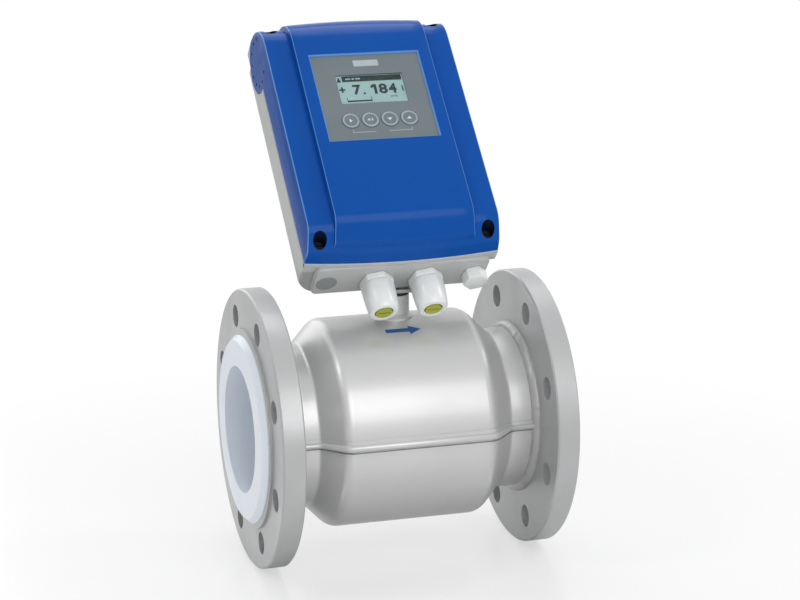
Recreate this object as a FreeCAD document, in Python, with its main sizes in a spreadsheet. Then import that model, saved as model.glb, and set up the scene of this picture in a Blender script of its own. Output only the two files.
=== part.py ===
import FreeCAD, Part
import math
import os
import Sketcher

# Electromagnetic flow meter for a DN 100 PN 16 pipe: a flanged, lined measuring sensor and a signal
# converter that leans back on a short neck. X is the pipe axis in the flow direction, Y points away
# from the reader of the display, Z is up. The origin is on the pipe axis, midway between the sealing faces.

SIZES = {
    # bore, liner, measuring tube and flanges
    "face_to_face": 250.0,
    "bore": 100.0,
    "liner_wall": 3.45,
    "liner_face": 5.0,
    "liner_inset": 5.0,
    "liner_lip": 4.0,
    "tube_wall": 3.6,
    "hole_circle": 180.0,
    "hole_count": 8,
    "hole_diameter": 18.0,
    "flange_edge": 20.0,
    "flange_plate": 18.0,
    "flange_chamfer": 1.2,
    "raised_face": 2.0,
    "raised_inset": 11.0,
    "weld_leg": 5.0,
    "fit_gap": 0.1,
    "root": 1.0,
    # coil housing: two pressed half shells with a lapped seam
    "neck_room": 4.35,
    "coil_room": 22.85,
    "shell_wall": 2.5,
    "shell_drum": 118.0,
    "shell_cone": 18.0,
    "shell_round": 12.0,
    "shell_hollow": 4.0,
    "lap_angle": 8.0,
    "lap_play": 0.2,
    "lap_height": 1.2,
    "lap_depth": 1.0,
    # magnetic circuit
    "shoe_length": 76.0,
    "shoe_angle": 70.0,
    "shoe_wall": 3.0,
    "core_length": 34.0,
    "core_width": 15.6,
    "core_round": 1.5,
    "coil_length": 72.0,
    "coil_width": 44.0,
    "coil_height": 11.0,
    "coil_round": 14.0,
    "yoke_width": 28.0,
    "yoke_wall": 2.0,
    "yoke_gap": 0.5,
    # electrodes
    "electrode_head": 12.0,
    "electrode_recess": 0.1,
    "electrode_shank": 5.0,
    "electrode_tip": 3.0,
    "bush_od": 17.8,
    "bush_collar_od": 22.0,
    "bush_collar": 3.5,
    "electrode_nut": 8.0,
    "electrode_nut_height": 4.0,
    # neck and bracket
    "stem_od": 28.0,
    "stem_wall": 3.0,
    "stem_weld": 3.0,
    "neck_height": 21.5,
    "seal_height": 1.5,
    "seal_inset": 0.4,
    "bracket_floor": 2.5,
    "bracket_margin": 1.0,
    "bracket_length": 52.0,
    "bracket_wall": 9.0,
    "bracket_round": 4.0,
    "bracket_screw_up": 36.0,
    "bracket_screw_pitch": 16.0,
    "bracket_screw_head": 8.0,
    "bracket_screw_head_height": 5.0,
    # converter housing, in its own tilted frame
    "tilt": 45.0,
    "housing_height": 219.5,
    "base_depth": 43.0,
    "parting_gap": 0.5,
    "rim_overhang": 0.5,
    "rim_depth": 19.5,
    "rim_round": 12.0,
    "box_inset": 4.5,
    "box_lift": 1.2,
    "box_round": 12.0,
    "box_top_round": 3.0,
    "back_round": 2.5,
    "base_wall": 4.0,
    "side_wall": 3.5,
    "cavity_low": 17.0,
    "cavity_top": 16.5,
    "post_side": 11.7,
    "middle_low": 5.0,
    "middle_top": 5.5,
    "gasket_width": 1.8,
    "gasket_inset": 0.6,
    # cover
    "cover_width": 156.0,
    "cover_lift": 0.8,
    "cover_taper": 3.4,
    "side_depth": 26.0,
    "side_chin": 14.5,
    "side_chin_round": 5.0,
    "side_roll": 25.0,
    "side_edge": 3.0,
    "shoulder": 20.5,
    "band_depth": 32.35,
    "band_chin": 18.5,
    "band_step_depth": 18.6,
    "band_step": 5.5,
    "band_chin_round": 3.0,
    "band_roll": 28.0,
    "band_rise": 1.0,
    "band_edge": 1.6,
    "cover_wall": 3.0,
    "front_wall": 4.5,
    "cover_cavity_low": 22.0,
    "cover_cavity_top": 19.5,
    "ear_radius": 25.0,
    "ear_offset": 1.0,
    "ear_gap": 0.3,
    "ear_wall": 3.6,
    "ear_room": 2.0,
    "ear_dot": 2.6,
    "ear_dot_circle": 38.0,
    "ear_dot_depth": 1.0,
    "ear_dots": 12,
    # cover screws
    "screw_inset": 10.3,
    "screw_low": 9.0,
    "screw_top": 7.5,
    "screw_well": 11.0,
    "screw_head": 8.6,
    "screw_head_height": 4.0,
    "screw_slot": 1.2,
    "screw_shank": 5.0,
    "screw_seat": 6.0,
    "screw_bite": 11.0,
    # display
    "window_width": 88.7,
    "window_height": 82.8,
    "window_mid": 133.2,
    "window_round": 1.0,
    "window_ledge": 4.0,
    "fascia_recess": 1.5,
    "fascia_wall": 1.8,
    "pane_width": 55.0,
    "pane_height": 28.0,
    "pane_rise": 8.1,
    "pane_wall": 1.0,
    "pane_recess": 0.2,
    "lcd_margin": 4.0,
    "lcd_depth": 4.5,
    "lcd_gap": 0.1,
    "key_od": 14.2,
    "key_spacing": 1.77,
    "key_gap": 0.3,
    "key_drop": 22.8,
    "key_proud": 0.3,
    "key_wall": 2.2,
    "key_stem": 5.0,
    "key_travel": 0.8,
    "display_board_depth": 9.0,
    "board_wall": 1.6,
    "board_edge": 4.0,
    "pillar_od": 6.0,
    "pillar_margin": 2.65,
    "pillar_inset": 3.4,
    "switch_side": 6.0,
    "switch_height": 3.0,
    # main electronics
    "standoff_od": 8.0,
    "standoff_height": 10.0,
    "standoff_inset": 8.0,
    "board_side": 10.5,
    "board_end": 9.0,
    "board_screw_od": 6.0,
    "board_screw_height": 2.4,
    "board_screw_shank": 3.0,
    "board_screw_bite": 8.0,
    "terminal_depth": 12.0,
    "terminal_height": 14.0,
    "terminal_end": 6.0,
    "terminal_side": 15.8,
    "terminal_pitch": 6.0,
    "terminal_spacing": 5.0,
    "terminal_hole": 3.6,
    "signal_poles": 10,
    "supply_poles": 3,
    "power_width": 44.0,
    "power_height": 38.0,
    "power_depth": 20.0,
    "power_drop": 12.0,
    # cable entries on the lower end of the base
    "entry_margin": 14.0,
    "entry_shift": 2.5,
    "entry_setback": 23.0,
    "entry_facing": 30.0,
    "gland_thread": 19.8,
    "gland_thread_length": 11.0,
    "gland_hex": 25.0,
    "gland_hex_height": 6.5,
    "gland_bore": 13.0,
    "gland_collar": 4.0,
    "o_ring": 1.0,
    "o_ring_proud": 0.2,
    "cap_clear": 0.3,
    "nut_clear": 0.3,
    "cap_base_od": 25.2,
    "cap_tip_od": 22.0,
    "cap_length": 29.5,
    "cap_skirt": 10.3,
    "cap_skirt_round": 4.0,
    "cap_dome": 6.5,
    "cap_dome_round": 3.0,
    "cap_shoulder": 1.2,
    "cap_shoulder_rise": 2.9,
    "cap_wall": 1.8,
    "cap_gap": 0.4,
    "cap_mouth": 13.6,
    "cap_mouth_land": 1.6,
    "cap_mouth_round": 2.0,
    "cap_mouth_depth": 2.0,
    "cap_ribs": 12,
    "cap_rib": 0.5,
    "cap_rib_width": 2.2,
    "cap_rib_length": 9.4,
    "disc_wall": 2.5,
    "disc_inset": 1.0,
    "disc_margin": 1.3,
    "disc_slot": 1.6,
    "seal_plug": 8.0,
    "locknut_hex": 24.0,
    "locknut_height": 5.0,
    "plug_thread": 15.8,
    "plug_thread_length": 9.0,
    "plug_hex": 20.0,
    "plug_height": 11.0,
    "plug_chamfer_inset": 0.9,
    "plug_chamfer_rise": 2.7,
    "blank_entry_od": 20.0,
    "blank_entry_depth": 1.2,
}

doc = FreeCAD.newDocument("FlowMeter")
sheet = doc.addObject("Spreadsheet::Sheet", "Sizes")
for row, (alias, amount) in enumerate(SIZES.items(), start=1):
    sheet.set(f"A{row}", alias)
    sheet.set(f"B{row}", str(amount))
    sheet.setAlias(f"B{row}", alias)
doc.recompute()


class Size:
    """A length that knows its number and the spreadsheet formula that gives it."""

    def __init__(self, amount, formula):
        self.amount = amount
        self.formula = formula

    def __add__(self, other):
        other = sized(other)
        return Size(self.amount + other.amount, f"({self.formula} + {other.formula})")

    def __sub__(self, other):
        other = sized(other)
        return Size(self.amount - other.amount, f"({self.formula} - {other.formula})")

    def __mul__(self, other):
        other = sized(other)
        return Size(self.amount * other.amount, f"({self.formula} * {other.formula})")

    def __truediv__(self, other):
        other = sized(other)
        return Size(self.amount / other.amount, f"({self.formula} / {other.formula})")

    def __neg__(self):
        return Size(-self.amount, f"(0 - {self.formula})")


def sized(item):
    if isinstance(item, Size):
        return item
    return Size(float(item), f"({item:.6f})")


def size(alias):
    return Size(float(sheet.get(alias)), f"Sizes.{alias}")


def cosine(angle):
    return Size(math.cos(math.radians(angle.amount)), f"cos({angle.formula})")


def sine(angle):
    return Size(math.sin(math.radians(angle.amount)), f"sin({angle.formula})")


def bind(item, name, value):
    """Set a property, through the spreadsheet where the value comes from it."""
    if isinstance(value, Size):
        item.setExpression(name, value.formula)
    else:
        setattr(item, name, value)


# ---------------------------------------------------------------- modelling helpers

def new_body(label):
    body = doc.addObject("PartDesign::Body", label)
    body.Label = label
    return body


def lean_back(body):
    """Place a body of the converter: its frame stands on the neck and leans back by the tilt."""
    body.Placement = FreeCAD.Placement(
        FreeCAD.Vector(0, 0, 1), FreeCAD.Rotation(FreeCAD.Vector(-1, 0, 0), 45)
    )
    bind(body, "Placement.Base.z", corner_z)
    bind(body, "Placement.Rotation.Angle", size("tilt"))


def converter_body(label):
    body = new_body(label)
    lean_back(body)
    return body


def sketch_on(body, role, across=0, up=0, out=0):
    """Sketch on one of the body's own origin planes, moved in the plane and along its normal."""
    sketch = body.newObject("Sketcher::SketchObject", "Sketch")
    plane = [item for item in body.Origin.OriginFeatures if item.Role == role][0]
    sketch.AttachmentSupport = [(plane, "")]
    sketch.MapMode = "FlatFace"
    for letter, value in zip("xyz", (across, up, out)):
        value = sized(value)
        bind(sketch, f"AttachmentOffset.Base.{letter}", value)
    return sketch


def pin_point(sketch, geometry, spot, x, y):
    """Dimension one point of a sketch from the sketch's origin."""
    for kind, value in (("DistanceX", sized(x)), ("DistanceY", sized(y))):
        rule = sketch.addConstraint(Sketcher.Constraint(kind, geometry, spot, value.amount))
        sketch.setExpression(f"Constraints[{rule}]", value.formula)


def draw_circle(sketch, x, y, diameter):
    x, y, diameter = sized(x), sized(y), sized(diameter)
    centre = FreeCAD.Vector(x.amount, y.amount, 0)
    ring = Part.Circle(centre, FreeCAD.Vector(0, 0, 1), diameter.amount / 2)
    geometry = sketch.addGeometry(ring, False)
    pin_point(sketch, geometry, 3, x, y)
    rule = sketch.addConstraint(Sketcher.Constraint("Diameter", geometry, diameter.amount))
    sketch.setExpression(f"Constraints[{rule}]", diameter.formula)


def draw_outline(sketch, corners):
    """Closed outline through dimensioned corners. A third value rounds its corner with a tangent arc."""
    count = len(corners)
    corners = [[sized(value) for value in corner] for corner in corners]
    spots = [FreeCAD.Vector(corner[0].amount, corner[1].amount, 0) for corner in corners]
    entries, exits, arcs = [], [], {}
    for index, corner in enumerate(corners):
        spot = spots[index]
        if len(corner) < 3:
            entries.append(spot)
            exits.append(spot)
            continue
        back = (spots[index - 1] - spot).normalize()
        ahead = (spots[(index + 1) % count] - spot).normalize()
        half = back.getAngle(ahead) / 2
        radius = corner[2].amount
        entries.append(spot + back * (radius / math.tan(half)))
        exits.append(spot + ahead * (radius / math.tan(half)))
        centre = spot + (back + ahead).normalize() * (radius / math.sin(half))
        turns_left = ahead.cross(back).z > 0
        start, end = (entries[-1], exits[-1]) if turns_left else (exits[-1], entries[-1])
        angles = [math.atan2(point.y - centre.y, point.x - centre.x) for point in (start, end)]
        if angles[1] < angles[0]:
            angles[1] += 2 * math.pi
        ring = Part.Circle(centre, FreeCAD.Vector(0, 0, 1), radius)
        arcs[index] = (sketch.addGeometry(Part.ArcOfCircle(ring, *angles), False), turns_left)
    lines = [
        sketch.addGeometry(Part.LineSegment(exits[index], entries[(index + 1) % count]), False)
        for index in range(count)
    ]
    for index, corner in enumerate(corners):
        line_in, line_out = lines[index - 1], lines[index]
        if index not in arcs:
            sketch.addConstraint(Sketcher.Constraint("Coincident", line_in, 2, line_out, 1))
            pin_point(sketch, line_out, 1, corner[0], corner[1])
            continue
        arc, turns_left = arcs[index]
        first, last = (1, 2) if turns_left else (2, 1)
        sketch.addConstraint(Sketcher.Constraint("Tangent", line_in, 2, arc, first))
        sketch.addConstraint(Sketcher.Constraint("Tangent", arc, last, line_out, 1))
        rule = sketch.addConstraint(Sketcher.Constraint("Radius", arc, corner[2].amount))
        sketch.setExpression(f"Constraints[{rule}]", corner[2].formula)
        mark = sketch.addGeometry(Part.Point(spots[index]), True)
        sketch.addConstraint(Sketcher.Constraint("PointOnObject", mark, 1, line_in))
        sketch.addConstraint(Sketcher.Constraint("PointOnObject", mark, 1, line_out))
        pin_point(sketch, mark, 1, corner[0], corner[1])


def rectangle(x0, y0, x1, y1, *radius):
    return [(x0, y0, *radius), (x1, y0, *radius), (x1, y1, *radius), (x0, y1, *radius)]


def hexagon(across_flats, x=0, y=0):
    reach = across_flats / math.sqrt(3)
    turns = [math.radians(60 * step) for step in range(6)]
    return [(reach * math.cos(turn) + x, reach * math.sin(turn) + y) for turn in turns]


def add_feature(body, kind, sketch, **values):
    item = body.newObject(f"PartDesign::{kind}", kind)
    item.Profile = sketch
    for name, value in values.items():
        bind(item, name, value)
    doc.recompute()
    return item


def pad(body, sketch, length, **values):
    return add_feature(body, "Pad", sketch, Length=length, **values)


def pocket(body, sketch, length, **values):
    return add_feature(body, "Pocket", sketch, Length=length, **values)


def revolve(body, sketch, axis, angle=360.0, midplane=False):
    return add_feature(
        body, "Revolution", sketch, ReferenceAxis=(sketch, [axis]), Angle=angle, Midplane=midplane
    )


def groove(body, sketch, axis, angle=360.0, midplane=False):
    return add_feature(
        body, "Groove", sketch, ReferenceAxis=(sketch, [axis]), Angle=angle, Midplane=midplane
    )


def polar_pattern(body, feature, axis, count):
    pattern = body.newObject("PartDesign::PolarPattern", "PolarPattern")
    pattern.Originals = [feature]
    pattern.Axis = axis
    pattern.Angle = 360
    bind(pattern, "Occurrences", count)
    body.Tip = pattern
    doc.recompute()
    return pattern


def dress_edges(body, kind, value, test):
    """Fillet or chamfer every edge of the body's present shape that passes the test."""
    tip = body.Tip
    names = [f"Edge{number}" for number, edge in enumerate(tip.Shape.Edges, start=1) if test(edge)]
    item = body.newObject(f"PartDesign::{kind}", kind)
    item.Base = (tip, names)
    bind(item, "Radius" if kind == "Fillet" else "Size", value)
    body.Tip = item
    doc.recompute()
    return item


def middle_of(edge):
    return edge.valueAt((edge.FirstParameter + edge.LastParameter) / 2)


def behind_parting(edge):
    """Whether an edge of the cover lies in the parting plane."""
    return middle_of(edge).y > -cover_back.amount - 0.1


def on_end_faces(edge):
    """Edges between the centre band's outside and its two ends."""
    ends = edge.Vertexes
    flat = abs(abs(ends[0].X) - abs(ends[-1].X)) < 0.01 and ends[0].X * ends[-1].X > 0
    return flat and not behind_parting(edge)


def round_the_back(edge):
    """Edges round the back face of the converter's base."""
    return abs(edge.Vertexes[0].Y) < 0.01 and abs(edge.Vertexes[-1].Y) < 0.01


def on_tapered_sides(edge):
    """Edges between the cover's outside and its tapered side walls."""
    return abs(middle_of(edge).x) > band_half.amount + 2 and not behind_parting(edge)


X_AXIS = FreeCAD.Vector(1, 0, 0)
Z_AXIS = FreeCAD.Vector(0, 0, 1)

# ---------------------------------------------------------------- places shared by several pieces

gap = size("fit_gap")
root = size("root")
seal_x = size("face_to_face") / 2
raised_x = seal_x - size("liner_face")
plate_x = raised_x - size("raised_face")
flange_back_x = plate_x - size("flange_plate")
bore_r = size("bore") / 2
liner_r = bore_r + size("liner_wall")
tube_inner_r = liner_r + gap
tube_r = tube_inner_r + size("tube_wall")
bolt_r = size("hole_circle") / 2
raised_r = bolt_r - size("raised_inset")
neck_r = tube_r + size("neck_room") + size("shell_wall")
shell_inner_r = tube_r + size("coil_room")
shell_r = shell_inner_r + size("shell_wall")
drum_x = size("shell_drum") / 2
cone_x = drum_x + size("shell_cone")
yoke_outer_r = shell_inner_r - size("yoke_gap")
yoke_inner_r = yoke_outer_r - size("yoke_wall")
shoe_inner_r = tube_r + gap
shoe_outer_r = shoe_inner_r + size("shoe_wall")
stem_r = size("stem_od") / 2
corner_z = shell_r + size("neck_height")
bracket_bottom = corner_z - size("bracket_floor")
stem_top = bracket_bottom - size("seal_height")

# converter frame: half widths across, depths towards the front, heights from the lower end
height = size("housing_height")
cover_half = size("cover_width") / 2
rim_half = cover_half + size("rim_overhang")
box_half = rim_half - size("box_inset")
cavity_half = box_half - size("side_wall")
band_half = cover_half - size("shoulder")
screw_x = cover_half - size("screw_inset")
middle_half = screw_x - size("post_side")
base_front = size("base_depth")
cover_back = base_front + size("parting_gap")
side_face = cover_back + size("side_depth")
band_face = cover_back + size("band_depth")
fascia_front = band_face - size("fascia_recess")
fascia_back = fascia_front - size("fascia_wall")
display_board_front = fascia_back - size("display_board_depth")
board_front = size("base_wall") + size("standoff_height")
board_face = board_front + size("board_wall")
entry_depth = base_front - size("entry_setback")
ear_forward = cover_back + size("ear_offset")
ear_up = height - size("side_roll")
cavity_high = height - size("cavity_top")
board_half = cavity_half - size("board_side")
board_low = size("cavity_low") + size("board_end")
board_high = cavity_high - size("board_end")
pane_mid = size("window_mid") + size("pane_rise")
key_up = size("window_mid") - size("key_drop")
key_pitch = size("key_od") + size("key_spacing")
key_hole = size("key_od") + size("key_gap") * 2
pillar_x = size("window_width") / 2 + size("pillar_margin")
pillar_up = size("window_height") / 2 - size("pillar_inset")
entry_pitch = (box_half - size("entry_margin")) * 2 / 3
screw_hole = size("screw_shank") + gap * 2
board_screw_hole = size("board_screw_shank") + gap * 2


def four_spots(x, low, high):
    """Places of a piece that is repeated in the four corners of a rectangle."""
    return [(-x, low), (x, low), (-x, high), (x, high)]


cover_screw_spots = four_spots(screw_x, size("screw_low"), height - size("screw_top"))
standoff_spots = four_spots(
    board_half - size("standoff_inset"), board_low + size("standoff_inset"), board_high - size("standoff_inset")
)
pillar_spots = four_spots(pillar_x, size("window_mid") - pillar_up, size("window_mid") + pillar_up)
bracket_screw_spots = [(size("bracket_screw_pitch") / 2 * side, size("bracket_screw_up")) for side in (-1, 1)]


def draw_circles(sketch, spots, diameter):
    for x, y in spots:
        draw_circle(sketch, x, y, diameter)


def centred(half_width, half_height, mid, *radius):
    """Rectangle about the converter's centre line, at a height above its lower end."""
    return rectangle(-half_width, mid - half_height, half_width, mid + half_height, *radius)


# ---------------------------------------------------------------- sensor

def make_measuring_tube():
    body = new_body("measuring_tube")
    profile = sketch_on(body, "XZ_Plane")
    draw_outline(profile, rectangle(-plate_x, tube_inner_r, plate_x, tube_r))
    revolve(body, profile, "H_Axis")
    holes = sketch_on(body, "XZ_Plane")
    draw_circle(holes, 0, 0, size("bush_od") + gap * 2)
    pocket(body, holes, shell_r * 2, SideType="Symmetric")


def make_liner():
    body = new_body("liner")
    face_r = raised_r - size("liner_inset")
    lip_x = seal_x - size("liner_lip")
    profile = sketch_on(body, "XZ_Plane")
    draw_outline(profile, [
        (-seal_x, bore_r), (seal_x, bore_r), (seal_x, face_r - size("liner_lip")), (lip_x, face_r),
        (raised_x, face_r), (raised_x, liner_r), (-raised_x, liner_r), (-raised_x, face_r),
        (-lip_x, face_r), (-seal_x, face_r - size("liner_lip")),
    ])
    revolve(body, profile, "H_Axis")
    holes = sketch_on(body, "XZ_Plane")
    draw_circle(holes, 0, 0, size("electrode_head") + gap * 2)
    pocket(body, holes, shell_r * 2, SideType="Symmetric")


def make_flange(label, side):
    """Plate flange with raised face and bolt circle, and the weld that joins it to the coil housing."""
    body = new_body(label)
    outer_r = bolt_r + size("flange_edge")
    bevel = size("flange_chamfer")
    seat_r = tube_r + gap
    weld_r = neck_r + gap
    leg = size("weld_leg")
    profile = sketch_on(body, "XZ_Plane")
    draw_outline(profile, [
        (raised_x * side, seat_r), (raised_x * side, raised_r), (plate_x * side, raised_r),
        (plate_x * side, outer_r - bevel), ((plate_x - bevel) * side, outer_r),
        ((flange_back_x + bevel) * side, outer_r), (flange_back_x * side, outer_r - bevel),
        (flange_back_x * side, weld_r + leg), ((flange_back_x - leg * 0.55) * side, weld_r + leg * 0.75),
        ((flange_back_x - leg) * side, weld_r), (flange_back_x * side, weld_r),
        (flange_back_x * side, seat_r),
    ])
    revolve(body, profile, "H_Axis")
    hole = sketch_on(body, "YZ_Plane")
    draw_circle(hole, bolt_r, 0, size("hole_diameter"))
    bolt_hole = pocket(body, hole, size("face_to_face") * 2, SideType="Symmetric")
    axis = [item for item in body.Origin.OriginFeatures if item.Role == "X_Axis"][0]
    polar_pattern(body, bolt_hole, (axis, [""]), size("hole_count"))
    # half a pitch of turn puts the holes on both sides of the centre lines
    body.Placement = FreeCAD.Placement(FreeCAD.Vector(), FreeCAD.Rotation(X_AXIS, 1))
    bind(body, "Placement.Rotation.Angle", sized(180) / size("hole_count"))


def shell_line(rise, reach):
    """Generatrix of the coil housing, from one neck over the cones and the drum to the other."""
    neck, drum = neck_r + rise, shell_r + rise
    hollow, crown = size("shell_hollow"), size("shell_round")
    return [
        (-reach, neck), (-cone_x, neck, hollow), (-drum_x, drum, crown),
        (drum_x, drum, crown), (cone_x, neck, hollow), (reach, neck),
    ]


def make_shell(label, upper):
    """One pressed half of the coil housing. The upper half carries the lap over the seam."""
    body = new_body(label)
    reach = flange_back_x - gap
    wall = size("shell_wall")
    profile = sketch_on(body, "XZ_Plane")
    side = 1 if upper else -1
    outside = [(x, r * side, *rest) for x, r, *rest in shell_line(0, reach)]
    inside = [(x, r * side, *rest) for x, r, *rest in shell_line(-wall, reach)]
    draw_outline(profile, outside + inside[::-1])
    revolve(body, profile, "H_Axis", 180.0, True)
    lap = sketch_on(body, "XY_Plane")
    depth = size("lap_depth")
    end = flange_back_x - size("weld_leg") - gap
    for edge in (-1, 1):
        if upper:
            high = [(x, r * edge, *rest) for x, r, *rest in shell_line(size("lap_height"), end)]
            low = [(x, r * edge, *rest) for x, r, *rest in shell_line(-depth, end)]
        else:
            end = end + gap
            high = [(-end, (shell_r + wall) * edge), (end, (shell_r + wall) * edge)]
            low = [(x, r * edge, *rest) for x, r, *rest in shell_line(-depth - gap, end)]
        draw_outline(lap, high + low[::-1])
    if upper:
        revolve(body, lap, "H_Axis", size("lap_angle"), True)
        hole = sketch_on(body, "XY_Plane")
        draw_circle(hole, 0, 0, (stem_r - size("stem_wall")) * 2)
        pocket(body, hole, shell_r * 2, Reversed=True)
    else:
        groove(body, lap, "H_Axis", size("lap_angle") + size("lap_play"), True)


def make_pole_shoe(label, side):
    body = new_body(label)
    length = size("shoe_length") / 2
    profile = sketch_on(body, "XZ_Plane")
    draw_outline(profile, rectangle(-length, shoe_inner_r * side, length, shoe_outer_r * side))
    revolve(body, profile, "H_Axis", size("shoe_angle"), True)
    start = shoe_inner_r + size("shoe_wall") / 2
    core = sketch_on(body, "XY_Plane", out=start * side)
    x, y = size("core_length") / 2 - gap, size("core_width") / 2 - gap
    draw_outline(core, rectangle(-x, -y, x, y, size("core_round")))
    pad(body, core, yoke_inner_r - size("yoke_gap") - start, Reversed=side < 0)


def make_field_coil(label, side):
    body = new_body(label)
    start = shoe_outer_r + gap
    winding = sketch_on(body, "XY_Plane", out=start * side)
    x, y = size("coil_length") / 2, size("coil_width") / 2
    draw_outline(winding, rectangle(-x, -y, x, y, size("coil_round")))
    x, y = size("core_length") / 2, size("core_width") / 2
    draw_outline(winding, rectangle(-x, -y, x, y, size("core_round")))
    pad(body, winding, size("coil_height"), Reversed=side < 0)


def make_return_yoke():
    body = new_body("return_yoke")
    half = size("yoke_width") / 2
    profile = sketch_on(body, "XZ_Plane")
    draw_outline(profile, rectangle(-half, yoke_inner_r, half, yoke_outer_r))
    revolve(body, profile, "H_Axis")


def face_front(body):
    """Turn a piece that is drawn towards +Y so that it faces the front."""
    body.Placement = FreeCAD.Placement(FreeCAD.Vector(), FreeCAD.Rotation(Z_AXIS, 180))


def make_electrode(end, front):
    """Measuring electrode with its insulating bush and nut, on the horizontal cross axis."""
    head_start = bore_r + size("electrode_recess")
    collar_start = tube_r + gap
    collar_end = collar_start + size("bush_collar")
    shank_end = collar_end + size("electrode_nut_height") + size("electrode_tip")
    electrode = new_body(f"electrode_{end}")
    profile = sketch_on(electrode, "XY_Plane")
    head_r, shank_r = size("electrode_head") / 2, size("electrode_shank") / 2
    draw_outline(profile, [
        (0, head_start), (head_r, head_start), (head_r, liner_r - gap), (shank_r, liner_r - gap),
        (shank_r, shank_end), (0, shank_end),
    ])
    revolve(electrode, profile, "V_Axis")
    bush = new_body(f"electrode_bush_{end}")
    profile = sketch_on(bush, "XY_Plane")
    hole_r, plug_r, collar_r = shank_r + gap, size("bush_od") / 2, size("bush_collar_od") / 2
    draw_outline(profile, [
        (hole_r, tube_inner_r + gap), (plug_r, tube_inner_r + gap), (plug_r, collar_start),
        (collar_r, collar_start), (collar_r, collar_end), (hole_r, collar_end),
    ])
    revolve(bush, profile, "V_Axis")
    nut = new_body(f"electrode_nut_{end}")
    section = sketch_on(nut, "XZ_Plane", out=-collar_end)
    draw_outline(section, hexagon(size("electrode_nut")))
    draw_circle(section, 0, 0, size("electrode_shank") + gap * 2)
    pad(nut, section, size("electrode_nut_height"), Reversed=True)
    if front:
        for body in (electrode, bush, nut):
            face_front(body)


def make_neck_stem():
    """Tube that stands on the upper shell with a saddle-shaped foot and its weld bead."""
    body = new_body("neck_stem")
    inner_r = stem_r - size("stem_wall")
    bead = size("stem_weld")
    foot = shell_r - bead
    profile = sketch_on(body, "XZ_Plane")
    draw_outline(profile, [
        (inner_r, foot), (stem_r + bead, foot), (stem_r + bead, shell_r), (stem_r, shell_r + bead),
        (stem_r, stem_top), (inner_r, stem_top),
    ])
    revolve(body, profile, "V_Axis")
    saddle = sketch_on(body, "XZ_Plane")
    width = stem_r + bead * 2
    draw_outline(saddle, rectangle(-width, neck_r, width, shell_r + gap / 2))
    groove(body, saddle, "H_Axis")


def make_neck_seal():
    body = new_body("neck_seal")
    outer_r = stem_r - size("seal_inset")
    inner_r = outer_r - size("stem_wall")
    profile = sketch_on(body, "XZ_Plane")
    draw_outline(profile, rectangle(inner_r, stem_top, outer_r, bracket_bottom, size("seal_inset")))
    revolve(body, profile, "V_Axis")


def leaning_point(y, rise):
    """Place in the converter's frame of a point given level: its y, and its rise over the frame's origin."""
    turn = size("tilt")
    y, rise = sized(y), sized(rise)
    return (y * cosine(turn) - rise * sine(turn), y * sine(turn) + rise * cosine(turn))


def make_converter_bracket():
    """Cast angle that carries the leaning housing by its back on top of the neck."""
    body = converter_body("converter_bracket")
    floor = size("bracket_floor")
    wall = size("bracket_wall")
    nut_reach = size("cap_base_od") / 2 + size("cap_rib") + size("nut_clear")
    front = (entry_depth - nut_reach) / cosine(size("tilt"))
    heel = (wall * sine(size("tilt")) - floor) / cosine(size("tilt"))
    profile = sketch_on(body, "YZ_Plane")
    draw_outline(profile, [
        leaning_point(-front, -floor), (wall, heel, size("bracket_round")),
        (wall, size("bracket_length"), size("bracket_round")), (0, size("bracket_length")), (0, 0),
        leaning_point(-front, 0),
    ])
    pad(body, profile, (stem_r + size("bracket_margin")) * 2, SideType="Symmetric")
    holes = sketch_on(body, "XZ_Plane", out=-wall)
    draw_circles(holes, bracket_screw_spots, screw_hole)
    pocket(body, holes, wall, Reversed=True)


def make_bracket_screws():
    """Two socket screws that hold the housing's back against the bracket."""
    body = converter_body("bracket_screws")
    seat = size("bracket_wall")
    head = size("bracket_screw_head")
    head_end = seat + size("bracket_screw_head_height")
    heads = sketch_on(body, "XZ_Plane", out=-head_end)
    draw_circles(heads, bracket_screw_spots, head)
    pad(body, heads, head_end - seat)
    shanks = sketch_on(body, "XZ_Plane", out=-seat - root)
    draw_circles(shanks, bracket_screw_spots, size("screw_shank"))
    pad(body, shanks, seat + size("base_wall"))
    sockets = sketch_on(body, "XZ_Plane", out=-head_end)
    for x, z in bracket_screw_spots:
        draw_outline(sockets, hexagon(head / 2, x, z))
    pocket(body, sockets, (head_end - seat) / 2, Reversed=True)


# ---------------------------------------------------------------- converter housing

def cross_outline(grow):
    """Edge of the housing's inside: a wide middle, narrower at both ends to leave the corner posts."""
    wide, narrow = cavity_half + grow, middle_half + grow
    low, high = size("cavity_low") - grow, cavity_high + grow
    bottom, top = size("middle_low") - grow, height - size("middle_top") + grow
    return [
        (-narrow, bottom), (narrow, bottom), (narrow, low), (wide, low), (wide, high), (narrow, high),
        (narrow, top), (-narrow, top), (-narrow, high), (-wide, high), (-wide, low), (-narrow, low),
    ]


def entry_x(step):
    """Place of one of the four cable entries across the housing."""
    return size("entry_shift") + entry_pitch * (step - 1.5)


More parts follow.
